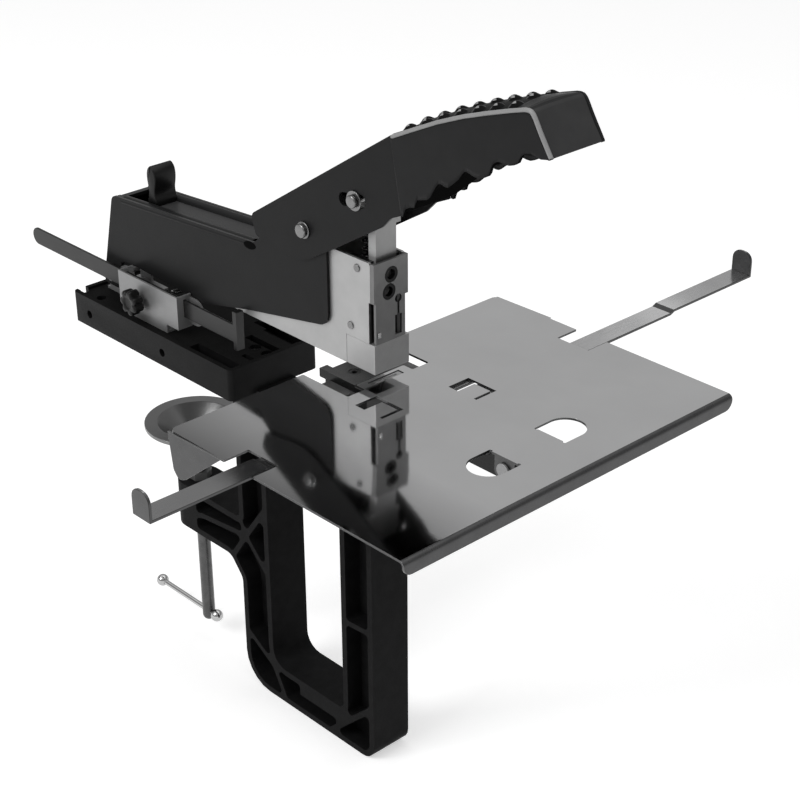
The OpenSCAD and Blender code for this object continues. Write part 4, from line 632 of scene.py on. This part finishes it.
class STAPLER_OT_table_clamp(bpy.types.Operator):
    """Makes the bell-shaped pad, the screw, the bush and the tommy bar"""
    bl_idname = "stapler.table_clamp"
    bl_label = "Table clamp"

    def execute(self, context):
        soften("pad_paint", sizes().machined_edge, "clamp_pad")
        soften("screw_steel", sizes().machined_edge, "clamp_screw")
        soften("pad_paint", sizes().machined_edge, "clamp_bush")
        soften("chrome", sizes().small_edge, "pad_washer", "tommy_bar", "tommy_bar_balls")
        return {"FINISHED"}


class STAPLER_OT_work_table(bpy.types.Operator):
    """Makes the polished plate, its bracket, the side guides and the anvil"""
    bl_idname = "stapler.work_table"
    bl_label = "Work table"

    def execute(self, context):
        for piece in (soften("polished_steel", sizes().plate_edge, "work_plate")
                      + soften("guide_steel", sizes().plate_edge, "left_guide", "right_guide")):
            # All faces but the tops get darker steel, and those behind the plate's edge darker still: painted
            # shade.
            faced(piece, UP, finish["sheet_side"], most=0.98)
            faced(piece, UP, finish["sheet_end"], most=0.98, within=BEHIND_PLATE_EDGE)
            # The plate's rounded edges get a darker copy of its steel, and the guides' edges the darker flap
            # steel: painted shade.
            piece.data.materials.append(finish["edge_steel" if "plate" in piece.name else "sheet_end"])
            piece.modifiers["edges"].material = len(piece.data.materials) - 1
        for piece in soften("anvil_black", sizes().machined_edge, "anvil_block", "plate_bracket"):
            # The sides across Y of the anvil block and the plate's bracket get black: painted shade.
            faced(piece, ACROSS, finish["black_plastic"])
        soften("bright_steel", sizes().small_edge, "clinch_insert")
        soften("oiled_steel", sizes().plate_edge, "anvil_screws", "bracket_bolts", "base_bolts")
        soften("zinc", sizes().small_edge, "plate_pins", "guide_keepers")
        return {"FINISHED"}


class STAPLER_OT_depth_stop(bpy.types.Operator):
    """Makes the folded bracket, the sliding rail and the locking knob"""
    bl_idname = "stapler.depth_stop"
    bl_label = "Depth stop"

    def execute(self, context):
        soften("zinc", sizes().small_edge, "rail_bracket")
        soften("rail_steel", sizes().sheet_edge, "depth_rail")
        soften("zinc", sizes().small_edge, "bracket_screws", "lock_stud")
        self.knob()
        return {"FINISHED"}

    @staticmethod
    def knob():
        """The lobed knob: a turned form whose radius dips seven times round, most at its rim, with a
        dished face. Its rim stands 0.6 mm past the solid's."""
        low, high = corners("lock_knob")
        rim = (high[2] - low[2]) / 2 + 0.6
        lobes, dip, dip_start, dip_run = 7, 1.9, 3.6, 2.4
        front, back = low[1], high[1]
        profile = [(0, front + 0.7), (2.6, front + 0.7), (3.4, front + 0.5), (4.1, front),
                   (rim - 1.3, front), (rim - 0.5, front + 0.25), (rim - 0.1, front + 0.7),
                   (rim, front + 1.2), (rim, back - 1.4), (rim - 0.3, back - 0.7), (rim - 1.2, back),
                   (2.1, back), (2.1, back - 3.2), (0, back - 3.2)]
        middle = ((low[0] + high[0]) / 2, 0, (low[2] + high[2]) / 2)
        turned("knob_finish", "lock_knob", profile, middle, "y", finish["black_plastic"], 120,
               lambda r, a: r - (dip * np.clip((r - dip_start) / dip_run, 0, 1)
                                 * (0.5 + 0.5 * np.cos(lobes * a)) ** 1.6))


class STAPLER_OT_body(bpy.types.Operator):
    """Makes the body shell, the latch and the rear hinge"""
    bl_idname = "stapler.body"
    bl_label = "Body"

    def execute(self, context):
        body = soften("shell_coat", sizes().body_edge, "body_shell", segments=3)[0]
        # The body's top faces get a lighter copy of the shell coat: painted light.
        faced(body, UP, finish["panel_coat"], 0.95)
        soften("zinc", sizes().sheet_edge, "hinge_bracket", "staple_rail", "pusher")
        soften("zinc", sizes().small_edge, "hinge_screws", "arm_pivot_pin", "latch_pin")
        soften("bright_steel", sizes().thin_edge, "pusher_spring")
        low, high = corners("lift_spring")
        x = (low[0] + high[0]) / 2
        coil = wound("lift_spring_finish", "lift_spring", x, low[2], high[2], *LIFT_COIL,
                     finish["spring_black"])
        front = x + LIFT_COIL[0] + LIFT_COIL[1] / 2
        sink = (front - ARM_HINGE_X) * math.sin(ARM_SWING) + 0.2
        low[2] * MM
        1 - sink / (high[2] - low[2])
        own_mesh(coil)
        self.latch()
        self.rolled_edges()
        return {"FINISHED"}

    @staticmethod
    def latch():
        """The latch: a closed outline in X and Z, as wide as a waisted bulb at each height, carried
        across Y, and drawn in a little towards both ends."""
        heights = np.array([58, 60, 74, 78, 82, 84, 86, 88, 90, 92, 94, 96, 98, 100, 102, 103.5, 104.6,
                            105.2, 105.4])
        halves = np.array([1.0, 1.2, 1.4, 3.2, 4.0, 4.2, 3.8, 2.9, 2.65, 2.9, 3.4, 3.8, 4.0, 4.0, 3.6, 3.0,
                           2.0, 1.0, 0.3])
        z = np.linspace(heights[0], heights[-1], 110)
        half = np.interp(z, heights, halves)
        half[2:-2] = np.convolve(half, np.ones(5) / 5, "valid")
        foot_x, lean, width = -17, 0.7, 15
        middle = foot_x - lean * np.clip((z - 74) / 8, 0, 1)
        outline = np.concatenate([np.stack([middle + half, z], -1), np.stack([middle - half, z], -1)[::-1]])
        centre = outline.mean(0)
        across = np.array([-1, -0.985, -0.94, -0.9, 0.9, 0.94, 0.985, 1]) * width / 2
        draw = np.array([0.8, 0.35, 0.08, 0, 0, 0.08, 0.35, 0.8])
        normal = outline - np.stack([np.interp(outline[:, 1], z, middle), outline[:, 1]], -1)
        rows = [np.stack([outline[:, 0] - d * np.sign(normal[:, 0]), np.full(len(outline), y),
                          centre[1] + (outline[:, 1] - centre[1]) * (1 - d / 30)], -1)
                for y, d in zip(across, draw)]
        tidy(add_piece("latch_finish", "magazine_latch", np.concatenate(rows) * MM,
                       capped_faces(len(rows), len(outline)), finish["black_plastic"]))

    @staticmethod
    def rolled_edges():
        """The rolled edges at both sides of the panel: a flat tube along the ridge, with a hollow in painted
        shade black inside its front end, and past that end an opening in painted shade black, which is an
        oval carried a little way across Y."""
        x = np.linspace(-40, 78.5, 40)
        ridge = np.interp(x, (-48.7, 81.7), (81.4, 91.2))
        ridge_y, tube_drop = 10.3, 2.35
        mouth_x, mouth_z, mouth_ys = 78.4, 88.6, (12.5, 14.1)
        coat, hollow = finish["shell_coat"], finish["black_hollow"]
        for side, word in ((-1, "left"), (1, "right")):
            path = np.stack([x, np.full(len(x), side * ridge_y), ridge - tube_drop], -1)
            swept(word + "_rolled_edge", "body_shell", path, ring(3.8, 32, 0.66), ACROSS, coat, cap=False)
            swept(word + "_rolled_hollow", "body_shell", path[-4:], ring(3.3, 32, 0.6), ACROSS, hollow)
            oval = ring(1, 40)
            oval = np.stack([5 * oval[:, 0], 0 * oval[:, 0], 2.2 * oval[:, 1] + 0.4 * oval[:, 0]], -1)
            points = np.concatenate([oval + (mouth_x, side * y, mouth_z) for y in mouth_ys])
            tidy(add_piece(word + "_ridge_opening", "body_shell", points * MM, capped_faces(2, 40), hollow,
                           False))


class STAPLER_OT_head(bpy.types.Operator):
    """Makes the head's plates, nose block, bushes and clip"""
    bl_idname = "stapler.head"
    bl_label = "Head"

    def execute(self, context):
        # The front faces of the head's frame and cap get darker copies of the satin nickel, and the whole
        # front plate the darker front steel: painted shade.
        for piece in soften("satin_nickel", sizes().sheet_edge, "head_frame", "head_cap"):
            faced(piece, FORWARD, finish["front_steel" if "frame" in piece.name else "nose_steel"])
        soften("front_steel", sizes().sheet_edge, "head_front_plate")
        soften("black_plastic", sizes().plate_edge, "head_bushes")
        soften("bright_steel", sizes().small_edge, "head_clip")
        soften("oiled_steel", sizes().plate_edge, "ram_guides", "spring_seat")
        soften("pin_steel", sizes().sheet_edge, "head_rivets")
        return {"FINISHED"}


class STAPLER_OT_drive(bpy.types.Operator):
    """Makes the ram, its blade, its pin and the return spring"""
    bl_idname = "stapler.drive"
    bl_label = "Drive"

    def execute(self, context):
        # The ram's front faces get the darker nose steel: painted shade.
        faced(soften("satin_nickel", sizes().sheet_edge, "ram")[0], FORWARD, finish["nose_steel"])
        soften("oiled_steel", sizes().thin_edge, "driver_blade")
        low, high = corners("return_spring")
        x = (low[0] + high[0]) / 2
        coil = wound("return_spring_finish", "return_spring", x, low[2], high[2], *RETURN_COIL,
                     finish["spring_black"])
        low[2] * MM
        1 - RAM_STROKE / (high[2] - low[2])
        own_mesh(coil)
        low, high = corners("drive_pin")
        headed_pin("drive_pin_finish", "drive_pin", (low[0] + high[0]) / 2, (low[2] + high[2]) / 2, 2.25, 3.4,
                   low[1], high[1])
        soften("pin_steel", sizes().plate_edge, "drive_pin_clips")
        return {"FINISHED"}


class STAPLER_OT_handle(bpy.types.Operator):
    """Makes the handle, the grip and the handle's pin"""
    bl_idname = "stapler.handle"
    bl_label = "Handle"

    def execute(self, context):
        soften("shell_coat", sizes().sheet_edge, "handle_shell")
        self.grip()
        low, high = corners("pivot_pin")
        x, z = (low[0] + high[0]) / 2, (low[2] + high[2]) / 2
        headed_pin("pivot_pin_finish", "pivot_pin", x, z, 3, 3.8, -17.4, high[1])
        washer = [(3.0, -15.8), (4.4, -15.8), (4.6, -16), (4.6, -16.4), (4.4, -16.6), (3.0, -16.6)]
        turned("pivot_washer", "pivot_pin", washer, (x, 0, z), "y", finish["pin_steel"], 48)
        soften("pin_steel", sizes().small_edge, "pivot_clips")
        return {"FINISHED"}

    # The grip from the side, in millimetres: its back with the end face, its scalloped low edge, and the
    # block in painted shade black inside it
    BACK = np.array([(194, 180.1), (207.6, 186.7), (224.8, 194.8), (241.4, 201.6), (256.6, 206.9),
                     (270.5, 211.4), (278.6, 213.8), (280.6, 214.1), (282.3, 213.9), (283.6, 212.9),
                     (284.8, 211.2), (288, 205.9), (294.7, 195.8), (295.2, 194.9)])
    LOW = np.array([(194, 177.5), (200.6, 141.7), (202.1, 141.5), (202.8, 143.7), (203.9, 146),
                    (206.5, 147.5), (210, 148.4), (210.7, 150.5), (212, 152.9), (214.7, 153.6),
                    (218.4, 154.7), (220.9, 156.9), (222.6, 159.9), (224.5, 162.9), (226, 164.7),
                    (227.8, 165.1), (230.2, 164.5), (232.4, 164.7), (236, 167.6), (239.4, 170.7),
                    (241.4, 173.5), (243, 175.2), (244.6, 175.6), (247.7, 174.8), (250, 174.5),
                    (252.6, 174.6), (255.4, 175.7), (257.6, 177), (258.8, 178.7), (259.6, 181.3),
                    (260.6, 183.3), (261.9, 184.6), (263.6, 185.5), (265.7, 185.7), (268.6, 185.4),
                    (270.9, 185.6), (273.8, 186.6), (275.9, 188), (276.9, 190.1), (278.3, 192.2),
                    (280.3, 193.6), (283.5, 194.4), (289.4, 193.4), (293.8, 194.3), (295.2, 194.6)])
    CORE = np.array([(199.4, 153), (201.5, 143.2), (209, 149.3), (217, 155.7), (224, 161.4), (231, 167),
                     (242, 173.6), (252, 178.5), (252, 196), (196.2, 172)])
    # The ways that the grip's back and its end face look, and each one's limits of X, in metres. The back
    # gets a darker copy of the grip plastic as painted shade, the end face a lighter one as painted light.
    BACK_NORMAL, BACK_LIMITS = (-0.36, 0, 0.93), (0, 0.272)
    END_NORMAL, END_LIMITS = (0.84, 0, 0.54), (0.275, 0.3)
    # A stud's profile and that of the painted glint, a light spot on its shoulder, as pairs of radius and
    # height
    STUD = np.array([(4.2, -0.5), (3.4, 0.1), (2.8, 0.5), (2.2, 1.0), (1.5, 1.45), (0.8, 1.72), (0.02, 1.8)])
    SPOT = np.array([(2.3, 0.97), (1.9, 1.25), (1.5, 1.49), (0.9, 1.73)])
    STUD_ROWS, STUD_PLACES = (-11, 0, 11), 200.6 + 11.28 * np.arange(7)
    # The back's crown: its height, and half its width where the studs stand
    CROWN, CROWN_HALF = 1.7, 14.6

    def grip(self):
        """The moulded grip: at each station along X a section goes up one side, round a corner, over the
        back and down the other side. The back's crown is a parabola that fades out over the end face."""
        half = corners("grip_cover")[1][1]
        start, end = self.BACK[0, 0], self.BACK[-1, 0]
        x = np.unique(np.concatenate([np.linspace(start, end, 260), self.BACK[:, 0], self.LOW[:, 0]]))
        top, low = np.interp(x, *self.BACK.T), np.interp(x, *self.LOW.T)
        low = np.minimum(low, top - 0.15)
        corner = np.minimum(3, 0.4 * (top - low))[:, None]
        rise = self.CROWN * np.clip((285 - x) / 12, 0, 1)[:, None] * np.clip((x - 192) / 12, 0.3, 1)[:, None]
        up = np.linspace(0, 1, 12)[None, :-1]
        turn = np.linspace(0, np.pi / 2, 8)[None, :]
        over = np.linspace(-1, 1, 25)[None, 1:-1]
        left = np.concatenate([-half + 0 * up * corner, -half + corner - corner * np.cos(turn)], 1)
        left_z = np.concatenate([low[:, None] + up * (top[:, None] - corner - low[:, None]),
                                 top[:, None] - corner + corner * np.sin(turn)], 1)
        y = np.concatenate([left, over * (half - corner), -left[:, ::-1]], 1)
        z = np.concatenate([left_z, top[:, None] + rise * (1 - over ** 2), left_z[:, ::-1]], 1)
        points = np.stack([np.repeat(x[:, None], y.shape[1], 1), y, z], -1).reshape(-1, 3)
        cover = tidy(add_piece("grip_finish", "grip_cover", points * MM, grid_faces(*y.shape),
                               finish["grip_plastic"]))
        # The grip's back faces get a darker copy of the plastic: painted shade.
        faced(cover, self.BACK_NORMAL, finish["grip_back"], 0.84, within=self.BACK_LIMITS)
        # The grip's end faces get a lighter copy of the plastic: painted light.
        faced(cover, self.END_NORMAL, finish["grip_end"], 0.9, within=self.END_LIMITS)
        wall = cover.modifiers.new("wall", "SOLIDIFY")
        wall.thickness = sizes().grip_wall
        wall.offset = -1
        # The cut rim of the grip's wall is painted shade black.
        cover.data.materials.append(finish["black_hollow"])
        wall.material_offset_rim = len(cover.data.materials) - 1
        self.core(half - 0.6)
        self.beads(half - 0.95)
        self.studs()

    def core(self, half):
        """A block in painted shade black inside the grip, seen past the scallops where the inside is only in
        shade: its outline carried across Y.
        """
        x, z = self.CORE.T
        points = np.concatenate([np.stack([x, np.full(len(x), y), z], -1)
                                 for y in np.linspace(-half, half, 9)])
        tidy(add_piece("grip_core", "grip_cover", points * MM, capped_faces(len(points) // len(x), len(x)),
                       finish["black_hollow"], False))

    def beads(self, half):
        """A rounded bead along each top edge and down the end: a circle carried along the back's line. The
        near, left bead is light grey as a painted highlight; the right one is plain grip plastic.
        """
        line = self.BACK[:-1]
        length = np.concatenate([[0], np.cumsum(np.linalg.norm(np.diff(line, axis=0), axis=1))])
        steps = np.linspace(0, 1, 160) * length[-1]
        x, z = np.interp(steps, length, line[:, 0]), np.interp(steps, length, line[:, 1])
        for side, word, plastic in ((-1, "left", "grip_bead"), (1, "right", "grip_plastic")):
            path = np.stack([x, np.full(160, side * half), z - 0.95], -1)
            swept(word + "_grip_bead", "grip_cover", path, ring(1.1, 16), ACROSS, finish[plastic])

    def studs(self):
        """Rows of domed studs, each with a painted glint, a light spot on its left shoulder. Both are turned
        about the back's own normal: the stud all round, its foot flared into the back, and the spot in part."""
        around = np.linspace(0, 2 * np.pi, 20, endpoint=False)
        shoulder = np.radians(np.linspace(255, 312, 7))
        studs, spots = self.along_back(self.STUD, around, True), self.along_back(self.SPOT, shoulder, False)
        joined("grip_studs", "grip_cover", studs, finish["stud_plastic"])
        joined("grip_worn_spots", "grip_cover", spots, finish["grip_bead"])

    def along_back(self, profile, angle, closed):
        """A turned profile at the place of every stud, as points and faces: radius times the cosine goes
        along the back, radius times the sine across it, and height along its normal."""
        parts = []
        for row in self.STUD_ROWS:
            for x in self.STUD_PLACES:
                z = np.interp(x, *self.BACK.T) + self.CROWN * (1 - (row / self.CROWN_HALF) ** 2)
                slope = (np.interp(x + 2, *self.BACK.T) - np.interp(x - 2, *self.BACK.T)) / 4
                along = np.array([1, 0, slope]) / math.hypot(1, slope)
                normal = np.array([-slope, 0, 1]) / math.hypot(1, slope)
                flat = np.cos(angle)[:, None] * along + np.sin(angle)[:, None] * np.array(ACROSS)
                points = np.array([x, row, z]) + profile[:, :1, None] * flat + profile[:, 1:, None] * normal
                parts.append((points.reshape(-1, 3), grid_faces(len(profile), len(angle), False, closed)))
        return parts


PIECE_OPERATORS = (STAPLER_OT_castings, STAPLER_OT_table_clamp, STAPLER_OT_work_table, STAPLER_OT_depth_stop,
                   STAPLER_OT_body, STAPLER_OT_head, STAPLER_OT_drive, STAPLER_OT_handle)


class STAPLER_PT_panel(bpy.types.Panel):
    """Lists the pieces, the sizes and the colours"""
    bl_label = "Saddle stapler"
    bl_idname = "STAPLER_PT_panel"
    bl_space_type = "VIEW_3D"
    bl_region_type = "UI"
    bl_category = "Stapler"

    def draw(self, context):
        for operator in (STAPLER_OT_stage,) + PIECE_OPERATORS:
            self.layout.operator(operator.bl_idname)
        for group in (context.scene.stapler_sizes, context.scene.stapler_colours):
            for name in group.__annotations__:
                self.layout.prop(group, name)


CLASSES = (StaplerSizes, StaplerColours, STAPLER_OT_stage) + PIECE_OPERATORS + (STAPLER_PT_panel,)


def register():
    """Registers the classes and hangs the sizes and colours on the scene."""
    for cls in CLASSES:
        bpy.utils.register_class(cls)
    bpy.types.Scene.stapler_sizes = PointerProperty(type=StaplerSizes)
    bpy.types.Scene.stapler_colours = PointerProperty(type=StaplerColours)


def unregister():
    """Takes away what register added."""
    del bpy.types.Scene.stapler_colours
    del bpy.types.Scene.stapler_sizes
    for cls in reversed(CLASSES):
        bpy.utils.unregister_class(cls)


def main():
    """Makes the stage and every piece in order."""
    register()
    bpy.ops.stapler.stage()
    for operator in PIECE_OPERATORS:
        getattr(bpy.ops.stapler, operator.bl_idname.split(".")[1])()


if __name__ == "__main__":
    main()
